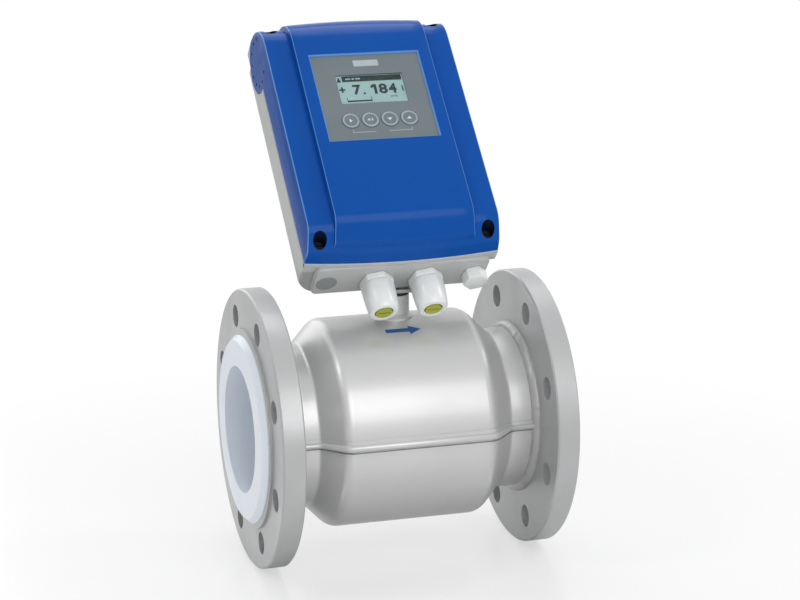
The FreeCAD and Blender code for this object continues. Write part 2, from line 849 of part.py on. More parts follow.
def make_converter_base():
    """Cast box with a wider rim, a cavity between four corner posts, standoffs and four cable entries."""
    body = converter_body("converter_base")
    rim_back = base_front - size("rim_depth")
    rim = sketch_on(body, "YZ_Plane")
    draw_outline(rim, [
        (-base_front, 0), (-rim_back, 0, size("rim_round")), (-rim_back, height), (-base_front, height),
    ])
    pad(body, rim, rim_half * 2, SideType="Symmetric")
    ears = sketch_on(body, "YZ_Plane")
    draw_circle(ears, -ear_forward, ear_up, (size("ear_radius") + size("ear_gap")) * 2)
    pocket(body, ears, rim_half * 4, SideType="Symmetric")
    box = sketch_on(body, "XZ_Plane")
    draw_outline(box, [
        (-box_half, size("box_lift"), size("box_round")), (box_half, size("box_lift"), size("box_round")),
        (box_half, height, size("box_top_round")), (-box_half, height, size("box_top_round")),
    ])
    pad(body, box, base_front)
    dress_edges(body, "Fillet", size("back_round"), round_the_back)
    inside = sketch_on(body, "XZ_Plane", out=base_front)
    draw_outline(inside, cross_outline(0))
    pocket(body, inside, base_front - size("base_wall"))
    standoffs = sketch_on(body, "XZ_Plane", out=size("base_wall") - root)
    draw_circles(standoffs, standoff_spots, size("standoff_od"))
    pad(body, standoffs, size("standoff_height") + root)
    bites = sketch_on(body, "XZ_Plane", out=board_front)
    draw_circles(bites, standoff_spots, board_screw_hole)
    pocket(body, bites, size("board_screw_bite") + root)
    posts = sketch_on(body, "XZ_Plane", out=base_front)
    draw_circles(posts, cover_screw_spots, screw_hole)
    pocket(body, posts, size("screw_bite") + root)
    faces = sketch_on(body, "XY_Plane", out=size("box_lift"))
    for step in (1, 2, 3):
        draw_circle(faces, entry_x(step), -entry_depth, size("entry_facing"))
    pocket(body, faces, size("box_lift") + root)
    entries = sketch_on(body, "XY_Plane")
    for step in (1, 2):
        draw_circle(entries, entry_x(step), -entry_depth, size("gland_thread") + gap * 2)
    pocket(body, entries, size("gland_thread_length") + size("middle_low"), Reversed=True)
    plug = sketch_on(body, "XY_Plane")
    draw_circle(plug, entry_x(3), -entry_depth, size("plug_thread") + gap * 2)
    pocket(body, plug, size("plug_thread_length") + size("box_lift") + root, Reversed=True)
    blank = sketch_on(body, "XY_Plane")
    draw_circle(blank, entry_x(0), -entry_depth, size("blank_entry_od"))
    pocket(body, blank, size("blank_entry_depth") + size("box_lift"), Reversed=True)
    fixing = sketch_on(body, "XZ_Plane")
    draw_circles(fixing, bracket_screw_spots, screw_hole)
    pocket(body, fixing, size("base_wall") - gap, Reversed=True)


def make_cover_gasket():
    body = converter_body("cover_gasket")
    ring = sketch_on(body, "XZ_Plane", out=base_front)
    draw_outline(ring, cross_outline(size("gasket_inset") + size("gasket_width")))
    draw_outline(ring, cross_outline(size("gasket_inset")))
    pad(body, ring, size("parting_gap"))


def make_converter_cover():
    """Die-cast cover: drafted sides, a raised centre band, a rolled top and a two-step chin."""
    body = converter_body("converter_cover")
    lift = size("cover_lift")
    chin_round = size("band_chin_round")
    band_top = height + size("band_rise")
    band = sketch_on(body, "YZ_Plane")
    draw_outline(band, [
        (-cover_back, lift), (-cover_back - size("band_step_depth"), size("band_step"), chin_round),
        (-band_face, size("band_chin"), chin_round), (-band_face, band_top, size("band_roll")),
        (-cover_back, band_top),
    ])
    pad(body, band, band_half * 2, SideType="Symmetric")
    dress_edges(body, "Fillet", size("band_edge"), on_end_faces)
    sides = sketch_on(body, "YZ_Plane")
    draw_outline(sides, [
        (-cover_back, lift), (-side_face, size("side_chin"), size("side_chin_round")),
        (-side_face, height, size("side_roll")), (-cover_back, height),
    ])
    pad(body, sides, cover_half * 2, SideType="Symmetric")
    taper_sides(body)
    dress_edges(body, "Fillet", size("side_edge"), on_tapered_sides)
    ears = sketch_on(body, "YZ_Plane")
    draw_circle(ears, -ear_forward, ear_up, size("ear_radius") * 2)
    pad(body, ears, rim_half * 2, SideType="Symmetric")
    room = sketch_on(body, "YZ_Plane")
    reach = size("ear_radius") + size("ear_room")
    draw_outline(room, rectangle(-cover_back, ear_up - reach, reach - cover_back, ear_up + reach))
    pocket(body, room, (rim_half - size("ear_wall")) * 2, SideType="Symmetric")
    for side in (-1, 1):
        floor = rim_half - size("ear_dot_depth")
        dot = sketch_on(body, "YZ_Plane", across=-ear_forward, up=ear_up, out=floor * side)
        draw_circle(dot, size("ear_dot_circle") / 2, 0, size("ear_dot"))
        dimple = pocket(body, dot, size("ear_dot_depth") + root, Reversed=side > 0)
        polar_pattern(body, dimple, (dot, ["N_Axis"]), size("ear_dots"))
    inside = sketch_on(body, "XZ_Plane", out=cover_back)
    draw_outline(inside, rectangle(-cavity_half, size("cavity_low"), cavity_half, cavity_high))
    pocket(body, inside, size("side_depth") - size("cover_wall"), Reversed=True)
    inside = sketch_on(body, "XZ_Plane", out=cover_back)
    narrow = band_half - size("cover_wall")
    top = height - size("cover_cavity_top")
    draw_outline(inside, rectangle(-narrow, size("cover_cavity_low"), narrow, top))
    pocket(body, inside, size("band_depth") - size("front_wall"), Reversed=True)
    recess = sketch_on(body, "XZ_Plane", out=band_face)
    x, z = size("window_width") / 2 + gap, size("window_height") / 2 + gap
    draw_outline(recess, centred(x, z, size("window_mid"), size("window_round")))
    pocket(body, recess, size("fascia_recess") + size("fascia_wall"))
    opening = sketch_on(body, "XZ_Plane", out=band_face)
    ledge = size("window_ledge")
    draw_outline(opening, centred(x - ledge, z - ledge, size("window_mid")))
    pocket(body, opening, size("band_depth"))
    wells = sketch_on(body, "XZ_Plane", out=cover_back + size("screw_seat"))
    draw_circles(wells, cover_screw_spots, size("screw_well"))
    pocket(body, wells, size("band_depth"), Reversed=True)
    holes = sketch_on(body, "XZ_Plane", out=cover_back)
    draw_circles(holes, cover_screw_spots, screw_hole + gap * 2)
    pocket(body, holes, size("screw_seat"), Reversed=True)


def taper_sides(body):
    """Lean both side walls of the cover inwards from the parting plane."""
    cut = sketch_on(body, "XY_Plane")
    slope = size("cover_taper") / size("side_depth")
    front = size("band_depth") + root
    for side in (-1, 1):
        beyond = (cover_half + size("cover_wall")) * side
        draw_outline(cut, [
            (cover_half * side, -cover_back), (beyond, -cover_back), (beyond, -cover_back - front),
            ((cover_half - slope * front) * side, -cover_back - front),
        ])
    pocket(body, cut, height * 3, SideType="Symmetric")


def make_cover_screws():
    """Four slotted cheese-head screws, as one group."""
    body = converter_body("cover_screws")
    seat = cover_back + size("screw_seat")
    heads = sketch_on(body, "XZ_Plane", out=seat)
    draw_circles(heads, cover_screw_spots, size("screw_head"))
    pad(body, heads, size("screw_head_height"))
    start = base_front - size("screw_bite")
    shanks = sketch_on(body, "XZ_Plane", out=start)
    draw_circles(shanks, cover_screw_spots, size("screw_shank"))
    pad(body, shanks, seat - start + root)
    slots = sketch_on(body, "XZ_Plane", out=seat + size("screw_head_height"))
    half = size("screw_slot") / 2
    reach = size("screw_head") / 2 + root
    for x, z in cover_screw_spots:
        draw_outline(slots, rectangle(x - reach, z - half, x + reach, z + half))
    pocket(body, slots, size("screw_slot"))


# ---------------------------------------------------------------- display and keys

def key_x(step):
    return key_pitch * (step - 1.5)


def make_display_fascia():
    body = converter_body("display_fascia")
    plate = sketch_on(body, "XZ_Plane", out=fascia_back)
    x, z = size("window_width") / 2, size("window_height") / 2
    draw_outline(plate, centred(x, z, size("window_mid"), size("window_round")))
    draw_outline(plate, centred(size("pane_width") / 2 + gap, size("pane_height") / 2 + gap, pane_mid))
    for step in range(4):
        draw_circle(plate, key_x(step), key_up, key_hole)
    pad(body, plate, size("fascia_wall"))


def make_display_window():
    body = converter_body("display_window")
    pane = sketch_on(body, "XZ_Plane", out=fascia_front - size("pane_recess") - size("pane_wall"))
    draw_outline(pane, centred(size("pane_width") / 2, size("pane_height") / 2, pane_mid))
    pad(body, pane, size("pane_wall"))


def make_lcd_module():
    """Display module: its case behind the fascia, and its glass, which stands in the fascia's opening."""
    body = converter_body("lcd_module")
    margin = size("lcd_margin")
    half_width, half_height = size("pane_width") / 2, size("pane_height") / 2
    case = sketch_on(body, "XZ_Plane", out=fascia_back - size("lcd_depth"))
    draw_outline(case, centred(half_width + margin, half_height + margin, pane_mid))
    pad(body, case, size("lcd_depth"))
    glass = sketch_on(body, "XZ_Plane", out=fascia_back)
    draw_outline(glass, centred(half_width - gap, half_height - gap, pane_mid))
    room = size("fascia_wall") - size("pane_wall") - size("pane_recess")
    pad(body, glass, room - size("lcd_gap"))


def make_display_board():
    """Circuit board behind the keys, with one push switch under each key."""
    body = converter_body("display_board")
    edge = size("board_edge")
    plate = sketch_on(body, "XZ_Plane", out=display_board_front - size("board_wall"))
    draw_outline(plate, centred(pillar_x + edge, pillar_up + edge, size("window_mid")))
    draw_circles(plate, pillar_spots, board_screw_hole)
    pad(body, plate, size("board_wall"))
    switches = sketch_on(body, "XZ_Plane", out=display_board_front - root)
    half = size("switch_side") / 2
    for step in range(4):
        x = key_x(step)
        draw_outline(switches, rectangle(x - half, key_up - half, x + half, key_up + half))
    pad(body, switches, size("switch_height") + root)
    carrier = sketch_on(body, "XZ_Plane", out=display_board_front - root)
    draw_outline(carrier, centred(size("pane_width") / 2, size("pane_height") / 2, pane_mid))
    pad(body, carrier, size("display_board_depth") - size("lcd_depth") + root)


def make_key(step):
    """Push key: a round cap in the fascia and a stem that reaches back to its switch."""
    body = converter_body(f"key_{step + 1}")
    cap_back = fascia_front + size("key_proud") - size("key_wall")
    cap = sketch_on(body, "XZ_Plane", out=cap_back)
    draw_circle(cap, key_x(step), key_up, size("key_od"))
    pad(body, cap, size("key_wall"))
    stem_end = display_board_front + size("switch_height") + size("key_travel") + gap
    stem = sketch_on(body, "XZ_Plane", out=stem_end)
    draw_circle(stem, key_x(step), key_up, size("key_stem"))
    pad(body, stem, cap_back - stem_end + root)


def make_display_pillars():
    """Four threaded pillars that hang the display board from the inside of the cover."""
    body = converter_body("display_pillars")
    board_back = display_board_front - size("board_wall")
    sleeves = sketch_on(body, "XZ_Plane", out=display_board_front)
    draw_circles(sleeves, pillar_spots, size("pillar_od"))
    pad(body, sleeves, band_face - size("front_wall") - display_board_front)
    screws = sketch_on(body, "XZ_Plane", out=board_back - root)
    draw_circles(screws, pillar_spots, size("board_screw_shank"))
    pad(body, screws, size("board_wall") + root * 2)
    heads = sketch_on(body, "XZ_Plane", out=board_back - size("board_screw_height"))
    draw_circles(heads, pillar_spots, size("board_screw_od"))
    pad(body, heads, size("board_screw_height"))


# ---------------------------------------------------------------- main electronics

def make_main_board():
    body = converter_body("main_board")
    plate = sketch_on(body, "XZ_Plane", out=board_front)
    draw_outline(plate, rectangle(-board_half, board_low, board_half, board_high))
    draw_circles(plate, standoff_spots, board_screw_hole)
    pad(body, plate, size("board_wall"))


def make_board_screws():
    body = converter_body("board_screws")
    heads = sketch_on(body, "XZ_Plane", out=board_face)
    draw_circles(heads, standoff_spots, size("board_screw_od"))
    pad(body, heads, size("board_screw_height"))
    bite = size("board_screw_bite")
    shanks = sketch_on(body, "XZ_Plane", out=board_front - bite)
    draw_circles(shanks, standoff_spots, size("board_screw_shank"))
    pad(body, shanks, bite + size("board_wall") + root)


def make_terminals(label, start, poles):
    """Row of screw terminals on the main board, with a wire entry in each pole."""
    body = converter_body(label)
    low = board_low + size("terminal_end")
    high = low + size("terminal_height")
    front = board_face + size("terminal_depth")
    pitch, hole = size("terminal_pitch"), size("terminal_hole")
    block = sketch_on(body, "XZ_Plane", out=board_face)
    draw_outline(block, rectangle(start, low, start + pitch * poles, high))
    pad(body, block, size("terminal_depth"))
    wires = sketch_on(body, "XY_Plane", out=low)
    screws = sketch_on(body, "XZ_Plane", out=front)
    for pole in range(int(poles.amount)):
        x = start + pitch * (pole + 0.5)
        draw_circle(wires, x, -front + size("terminal_depth") / 2, hole)
        draw_circle(screws, x, high - hole, hole)
    pocket(body, wires, size("terminal_height") / 2, Reversed=True)
    pocket(body, screws, hole / 2)


def make_power_module():
    body = converter_body("power_module")
    high = board_high - size("standoff_inset") - size("power_drop")
    half_height = size("power_height") / 2
    block = sketch_on(body, "XZ_Plane", out=board_face)
    draw_outline(block, centred(size("power_width") / 2, half_height, high - half_height))
    pad(body, block, size("power_depth"))


# ---------------------------------------------------------------- cable entries

def upright_sketch(body, step):
    """Sketch whose vertical axis is the axis of a cable entry."""
    return sketch_on(body, "XZ_Plane", across=entry_x(step), out=entry_depth)


def flat_sketch(body, step, level):
    """Sketch across a cable entry, with its origin on the entry's axis."""
    return sketch_on(body, "XY_Plane", across=entry_x(step), up=-entry_depth, out=level)


def make_gland(number):
    """Cable gland: body, O-ring, lock nut, domed cap nut, seal insert and blanking disc."""
    end = size("box_lift")
    hex_top = end - size("o_ring")
    hex_bottom = hex_top - size("gland_hex_height")
    thread_top = end + size("gland_thread_length")
    cap_end = hex_bottom - size("cap_length")
    dome = size("cap_dome")
    collar_end = cap_end + dome + size("gland_collar")
    thread_r = size("gland_thread") / 2
    bore_r = size("gland_bore") / 2
    base_r, tip_r, mouth_r = size("cap_base_od") / 2, size("cap_tip_od") / 2, size("cap_mouth") / 2
    wall_r = tip_r - size("cap_wall")
    plug_r = bore_r - gap
    seal_r = mouth_r - size("cap_gap")

    gland = converter_body(f"gland_body_{number}")
    section = flat_sketch(gland, number, hex_bottom)
    draw_outline(section, hexagon(size("gland_hex")))
    pad(gland, section, size("gland_hex_height"))
    profile = upright_sketch(gland, number)
    inner_r = wall_r - size("cap_gap")
    draw_outline(profile, [
        (bore_r, thread_top), (thread_r, thread_top), (thread_r, hex_bottom + root),
        (inner_r, hex_bottom), (inner_r, collar_end), (bore_r, collar_end),
    ])
    revolve(gland, profile, "V_Axis")
    drill = flat_sketch(gland, number, hex_bottom - root)
    draw_circle(drill, 0, 0, size("gland_bore"))
    pocket(gland, drill, size("gland_hex_height") + root * 2, Reversed=True)

    ring = converter_body(f"gland_o_ring_{number}")
    profile = upright_sketch(ring, number)
    ring_r = size("gland_hex") / 2 + size("o_ring_proud")
    draw_outline(profile, rectangle(thread_r + gap, hex_top, ring_r, end, size("o_ring") * 0.3))
    revolve(ring, profile, "V_Axis")

    locknut = converter_body(f"gland_locknut_{number}")
    section = flat_sketch(locknut, number, size("middle_low"))
    draw_outline(section, hexagon(size("locknut_hex")))
    draw_circle(section, 0, 0, size("gland_thread") + gap * 2)
    pad(locknut, section, size("locknut_height"))

    cap = converter_body(f"gland_nut_{number}")
    profile = upright_sketch(cap, number)
    top = hex_bottom - size("cap_clear")
    draw_outline(profile, [
        (wall_r, top), (base_r, top), (base_r, top - size("cap_skirt"), size("cap_skirt_round")),
        (tip_r, cap_end + dome),
        (tip_r - size("cap_shoulder"), cap_end + size("cap_shoulder_rise"), size("cap_dome_round")),
        (mouth_r + size("cap_mouth_land"), cap_end, size("cap_mouth_round")), (mouth_r, cap_end),
        (mouth_r, cap_end + size("cap_mouth_depth")), (wall_r, cap_end + dome),
    ])
    revolve(cap, profile, "V_Axis")
    rib = flat_sketch(cap, number, top)
    half = size("cap_rib_width") / 2
    draw_outline(rib, rectangle(base_r - root, -half, base_r + size("cap_rib"), half))
    flute = pad(cap, rib, size("cap_rib_length"), Reversed=True)
    polar_pattern(cap, flute, (rib, ["N_Axis"]), size("cap_ribs"))

    disc_face = cap_end + size("disc_inset")
    disc_back = disc_face + size("disc_wall")
    insert = converter_body(f"gland_seal_{number}")
    profile = upright_sketch(insert, number)
    plug_end = collar_end + size("seal_plug")
    draw_outline(profile, [
        (0, disc_back), (seal_r, disc_back), (seal_r, cap_end + dome - root),
        (plug_r, cap_end + dome), (plug_r, plug_end), (0, plug_end),
    ])
    revolve(insert, profile, "V_Axis")

    disc = converter_body(f"blanking_disc_{number}")
    section = flat_sketch(disc, number, disc_face)
    draw_circle(section, 0, 0, seal_r * 2)
    pad(disc, section, size("disc_wall"))
    slot = flat_sketch(disc, number, disc_face)
    half, reach = size("disc_slot") / 2, seal_r - size("disc_margin")
    draw_outline(slot, rectangle(-reach, -half, reach, half))
    pocket(disc, slot, size("disc_wall") / 2, Reversed=True)


def make_blanking_plug():
    """Hexagon plug with its flat seal, in the entry that is not used."""
    step = 3
    end = size("box_lift")
    seal_bottom = end - size("o_ring")
    low = seal_bottom - size("plug_height")
    flat_r = size("plug_hex") / 2
    corner_r = size("plug_hex") / math.sqrt(3) + root
    plug = converter_body("blanking_plug")
    head = flat_sketch(plug, step, low)
    draw_outline(head, hexagon(size("plug_hex")))
    pad(plug, head, size("plug_height"))
    bevel = upright_sketch(plug, step)
    draw_outline(bevel, [
        (flat_r - size("plug_chamfer_inset"), low), (corner_r, low), (corner_r, low + size("plug_chamfer_rise")),
    ])
    groove(plug, bevel, "V_Axis")
    thread = flat_sketch(plug, step, seal_bottom - root)
    draw_circle(thread, 0, 0, size("plug_thread"))
    pad(plug, thread, size("plug_thread_length") + size("o_ring") + root)
    ring = converter_body("plug_seal")
    profile = upright_sketch(ring, step)
    inner_r = size("plug_thread") / 2 + gap
    draw_outline(profile, rectangle(inner_r, seal_bottom, flat_r + size("o_ring_proud"), end, size("o_ring") * 0.3))
    revolve(ring, profile, "V_Axis")


# ---------------------------------------------------------------- the whole meter

make_measuring_tube()
make_liner()
make_flange("inlet_flange", -1)
make_flange("outlet_flange", 1)
make_shell("coil_housing_upper", True)
make_shell("coil_housing_lower", False)
for place, side in (("top", 1), ("bottom", -1)):
    make_pole_shoe(f"pole_shoe_{place}", side)
    make_field_coil(f"field_coil_{place}", side)
make_return_yoke()
make_electrode("front", True)
make_electrode("rear", False)
make_neck_stem()
make_neck_seal()
make_converter_bracket()
make_bracket_screws()
make_converter_base()
make_cover_gasket()
make_converter_cover()
make_cover_screws()
make_display_fascia()
make_display_window()
make_lcd_module()
make_display_board()
make_display_pillars()
for step in range(4):
    make_key(step)
make_main_board()
make_board_screws()
signal_start = size("terminal_side") - board_half
signal_poles = size("signal_poles")
make_terminals("signal_terminals", signal_start, signal_poles)
supply_start = signal_start + size("terminal_pitch") * signal_poles + size("terminal_spacing")
make_terminals("supply_terminals", supply_start, size("supply_poles"))
make_power_module()
make_gland(1)
make_gland(2)
make_blanking_plug()
doc.recompute()

failed = [item.Label for item in doc.Objects if "Invalid" in item.State or "Error" in item.State]
if failed:
    raise RuntimeError(f"objects that did not compute: {failed}")
pieces = [item for item in doc.Objects if item.TypeId == "PartDesign::Body"]
for piece in pieces:
    if piece.Shape.isNull() or not piece.Shape.isValid():
        raise RuntimeError(f"bad shape: {piece.Label}")
os.makedirs("parts", exist_ok=True)
for piece in pieces:
    piece.Shape.exportStep(f"parts/{piece.Label}.step")
print(f"{len(pieces)} pieces")
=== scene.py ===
import math

import bmesh
import bpy
from mathutils import Matrix, Vector


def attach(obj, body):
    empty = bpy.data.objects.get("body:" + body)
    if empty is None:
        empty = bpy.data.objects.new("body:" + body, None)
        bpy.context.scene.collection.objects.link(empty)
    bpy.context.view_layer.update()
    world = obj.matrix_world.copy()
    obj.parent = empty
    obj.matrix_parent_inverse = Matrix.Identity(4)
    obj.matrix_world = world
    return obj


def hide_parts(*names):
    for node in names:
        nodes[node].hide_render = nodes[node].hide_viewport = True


# Looks of a flanged flow meter whose display housing leans back on a short neck.
# The housing has its own frame: x across, y away from the reader, z up along its lean.

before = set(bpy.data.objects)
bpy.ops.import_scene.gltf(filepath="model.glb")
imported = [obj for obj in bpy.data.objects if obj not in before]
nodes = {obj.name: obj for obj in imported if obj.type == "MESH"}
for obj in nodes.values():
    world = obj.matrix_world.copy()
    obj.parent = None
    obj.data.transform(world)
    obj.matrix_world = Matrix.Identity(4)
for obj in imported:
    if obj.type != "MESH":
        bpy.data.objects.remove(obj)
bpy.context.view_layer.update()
mm = 0.001
near = 0.01  # millimetres, for picking edges by their place
rootBody = "meter"
print("frame loaded:", len(nodes), "nodes")

# sizes in millimetres
housing = {"corner": 104.0, "lean": 45.0, "bandFace": 75.85, "recess": 1.5}
shell = {"drum": 82.5, "neck": 64.0, "flangeBack": 100.0}
toHousing = Matrix.Translation((0, 0, housing["corner"] * mm)) @ Matrix.Rotation(
    -math.radians(housing["lean"]), 4, "X")
towardsReader = Matrix.Rotation(math.pi / 2, 4, "X")  # turns local z to the front
fasciaDepth = housing["bandFace"] - housing["recess"]

viewpoint = {"azimuth": -17.034, "elevation": 12.762, "roll": -0.498, "distance": 2.0,
             "target": (0.00718, 0.0, 0.09396), "lens": 114.0, "sensor": 36.0}


def addCamera(values):
    turn, lift, roll = (math.radians(values[key]) for key in ("azimuth", "elevation", "roll"))
    back = Vector((math.sin(turn) * math.cos(lift), -math.cos(turn) * math.cos(lift), math.sin(lift)))
    right = Vector((0, 0, 1)).cross(back).normalized()
    up = back.cross(right)
    across = right * math.cos(roll) + up * math.sin(roll)
    upright = back.cross(across)
    camera = bpy.data.objects.new("camera", bpy.data.cameras.new("camera"))
    bpy.context.scene.collection.objects.link(camera)
    camera.data.lens = values["lens"]
    camera.data.sensor_width = values["sensor"]
    turned = Matrix((across, upright, back)).transposed().to_4x4()
    place = Vector(values["target"]) + back * values["distance"]
    camera.matrix_world = Matrix.Translation(place) @ turned
    bpy.context.scene.camera = camera


studio = {
    "world": 0.42,
    "lamps": {  # place, size, watts
        "frontLamp": ((0.2, -2.2, 1.2), 1.5, 22.0),
        "leftLamp": ((-1.35, -0.3, 1.75), 0.5, 5.0),
        "rightLamp": ((1.6, -0.1, 1.25), 0.5, 6.0),
        "topLamp": ((0.1, 0.9, 1.9), 1.2, 12.0),
        "backLamp": ((-0.6, 1.8, 0.9), 1.3, 7.0),
    },
    "aim": (0.0, 0.0, 0.08),
    "floorLevel": -0.1103, "floorReach": 6.0,
    "floorColour": (0.93, 0.93, 0.93, 1), "floorGloss": 0.25, "floorRoughness": 0.22,
    "floorGlow": 0.58, "glowStart": 0.25, "glowEnd": 0.7,
}


def addLamps(values):
    for name, (place, size, power) in values["lamps"].items():
        lamp = bpy.data.objects.new(name, bpy.data.lights.new(name, "AREA"))
        bpy.context.scene.collection.objects.link(lamp)
        lamp.data.energy = power
        lamp.data.size = size
        lamp.location = place
        aim = Vector(values["aim"]) - Vector(place)
        lamp.rotation_euler = aim.to_track_quat("-Z", "Y").to_euler()


def lightWorld(values):
    # white to the eye, in gloss and through glass, and a lower level as light
    world = bpy.data.worlds.new("studioWorld")
    bpy.context.scene.world = world
    world.use_nodes = True
    tree = world.node_tree
    tree.nodes.clear()
    output = tree.nodes.new("ShaderNodeOutputWorld")
    lit = tree.nodes.new("ShaderNodeBackground")
    lit.inputs["Strength"].default_value = values["world"]
    seen = tree.nodes.new("ShaderNodeBackground")
    for background in (lit, seen):
        background.inputs["Color"].default_value = (1, 1, 1, 1)
    path = tree.nodes.new("ShaderNodeLightPath")
    share = path.outputs["Is Camera Ray"]
    for ray in ("Is Glossy Ray", "Is Transmission Ray"):
        total = tree.nodes.new("ShaderNodeMath")
        total.operation = "ADD"
        total.use_clamp = True
        tree.links.new(share, total.inputs[0])
        tree.links.new(path.outputs[ray], total.inputs[1])
        share = total.outputs[0]
    mix = tree.nodes.new("ShaderNodeMixShader")
    tree.links.new(share, mix.inputs["Fac"])
    tree.links.new(lit.outputs[0], mix.inputs[1])
    tree.links.new(seen.outputs[0], mix.inputs[2])
    tree.links.new(mix.outputs[0], output.inputs["Surface"])


def makeFloorPaint(values):
    material = bpy.data.materials.new("paleFloor")
    material.use_nodes = True
    tree = material.node_tree
    tree.nodes.clear()
    output = tree.nodes.new("ShaderNodeOutputMaterial")
    matt = tree.nodes.new("ShaderNodeBsdfDiffuse")
    matt.inputs["Color"].default_value = values["floorColour"]
    gloss = tree.nodes.new("ShaderNodeBsdfGlossy")
    gloss.inputs["Roughness"].default_value = values["floorRoughness"]
    sheen = tree.nodes.new("ShaderNodeMixShader")
    sheen.inputs["Fac"].default_value = values["floorGloss"]
    tree.links.new(matt.outputs[0], sheen.inputs[1])
    tree.links.new(gloss.outputs[0], sheen.inputs[2])
    place = tree.nodes.new("ShaderNodeTexCoord")
    reach = tree.nodes.new("ShaderNodeVectorMath")
    reach.operation = "LENGTH"
    tree.links.new(place.outputs["Object"], reach.inputs[0])
    fade = tree.nodes.new("ShaderNodeMapRange")  # the floor turns plain white away from the meter
    fade.interpolation_type = "SMOOTHSTEP"
    fade.inputs["From Min"].default_value = values["glowStart"]
    fade.inputs["From Max"].default_value = values["glowEnd"]
    fade.inputs["To Min"].default_value = values["floorGlow"]
    tree.links.new(reach.outputs["Value"], fade.inputs["Value"])
    path = tree.nodes.new("ShaderNodeLightPath")
    share = tree.nodes.new("ShaderNodeMath")
    share.operation = "MULTIPLY"
    tree.links.new(path.outputs["Is Camera Ray"], share.inputs[0])
    tree.links.new(fade.outputs["Result"], share.inputs[1])
    glow = tree.nodes.new("ShaderNodeEmission")
    mix = tree.nodes.new("ShaderNodeMixShader")
    tree.links.new(share.outputs[0], mix.inputs["Fac"])
    tree.links.new(sheen.outputs[0], mix.inputs[1])
    tree.links.new(glow.outputs[0], mix.inputs[2])
    tree.links.new(mix.outputs[0], output.inputs["Surface"])
    return material


def layFloor(values):
    work = bmesh.new()
    bmesh.ops.create_grid(work, x_segments=1, y_segments=1, size=values["floorReach"])
    bmesh.ops.translate(work, verts=work.verts, vec=(0, 0, values["floorLevel"]))
    mesh = bpy.data.meshes.new("floor")
    work.to_mesh(mesh)
    work.free()
    mesh.materials.append(makeFloorPaint(values))
    floor = bpy.data.objects.new("floor", mesh)
    bpy.context.scene.collection.objects.link(floor)


bpy.context.scene.view_settings.view_transform = "Standard"
addCamera(viewpoint)
addLamps(studio)
lightWorld(studio)
layFloor(studio)
print("camera, lamps and floor set")

paintValues = {"grain": 900.0, "patches": 14.0, "roughness": 0.3, "spread": 0.1, "fineDetail": 2.0,
               "slowDetail": 4.0, "toneFrom": 0.35, "toneGain": 2.2}
ringValues = {"pitch": 0.0016, "depth": 0.6}


def newGroup(name, inputs, outputs):
    group = bpy.data.node_groups.new(name, "ShaderNodeTree")
    for label, kind, value in inputs:
        socket = group.interface.new_socket(label, in_out="INPUT", socket_type=kind)
        socket.default_value = value
    for label, kind in outputs:
        group.interface.new_socket(label, in_out="OUTPUT", socket_type=kind)
    start = group.nodes.new("NodeGroupInput")
    end = group.nodes.new("NodeGroupOutput")
    place = group.nodes.new("ShaderNodeTexCoord")
    return group, start, end, place.outputs["Object"]


def mathNode(group, operation, first, second):
    node = group.nodes.new("ShaderNodeMath")
    node.operation = operation
    for socket, value in zip(node.inputs, (first, second)):
        if isinstance(value, (int, float)):
            socket.default_value = value
        else:
            group.links.new(value, socket)
    return node.outputs[0]


def noiseNode(group, place, scale, detail):
    node = group.nodes.new("ShaderNodeTexNoise")
    node.inputs["Detail"].default_value = detail
    group.links.new(place, node.inputs["Vector"])
    group.links.new(scale, node.inputs["Scale"])
    return node.outputs["Fac"]


def makePaintGrain(values):
    # fine orange peel with a slow change of tone and gloss over the surface
    group, start, end, place = newGroup(
        "paintGrain",
        [("Color", "NodeSocketColor", (0.7, 0.7, 0.7, 1)), ("Shade", "NodeSocketColor", (0.6, 0.6, 0.6, 1)),
         ("Grain", "NodeSocketFloat", values["grain"]), ("Patches", "NodeSocketFloat", values["patches"]),
         ("Roughness", "NodeSocketFloat", values["roughness"]),
         ("Spread", "NodeSocketFloat", values["spread"])],
        [("Color", "NodeSocketColor"), ("Roughness", "NodeSocketFloat"), ("Height", "NodeSocketFloat")])
    fine = noiseNode(group, place, start.outputs["Grain"], values["fineDetail"])
    slow = noiseNode(group, place, start.outputs["Patches"], values["slowDetail"])
    blend = group.nodes.new("ShaderNodeMix")
    blend.data_type = "RGBA"
    tone = mathNode(group, "SUBTRACT", slow, values["toneFrom"])
    tone = mathNode(group, "MULTIPLY", tone, values["toneGain"])
    group.links.new(tone, blend.inputs["Factor"])
    group.links.new(start.outputs["Color"], blend.inputs[6])  # sockets 6 and 7 are the colours A and B
    group.links.new(start.outputs["Shade"], blend.inputs[7])
    group.links.new(blend.outputs[2], end.inputs["Color"])
    change = mathNode(group, "MULTIPLY", mathNode(group, "SUBTRACT", slow, 0.5), start.outputs["Spread"])
    speck = mathNode(group, "MULTIPLY", mathNode(group, "SUBTRACT", fine, 0.5), start.outputs["Spread"])
    total = mathNode(group, "ADD", start.outputs["Roughness"], mathNode(group, "ADD", change, speck))
    group.links.new(total, end.inputs["Roughness"])
    group.links.new(fine, end.inputs["Height"])
    return group


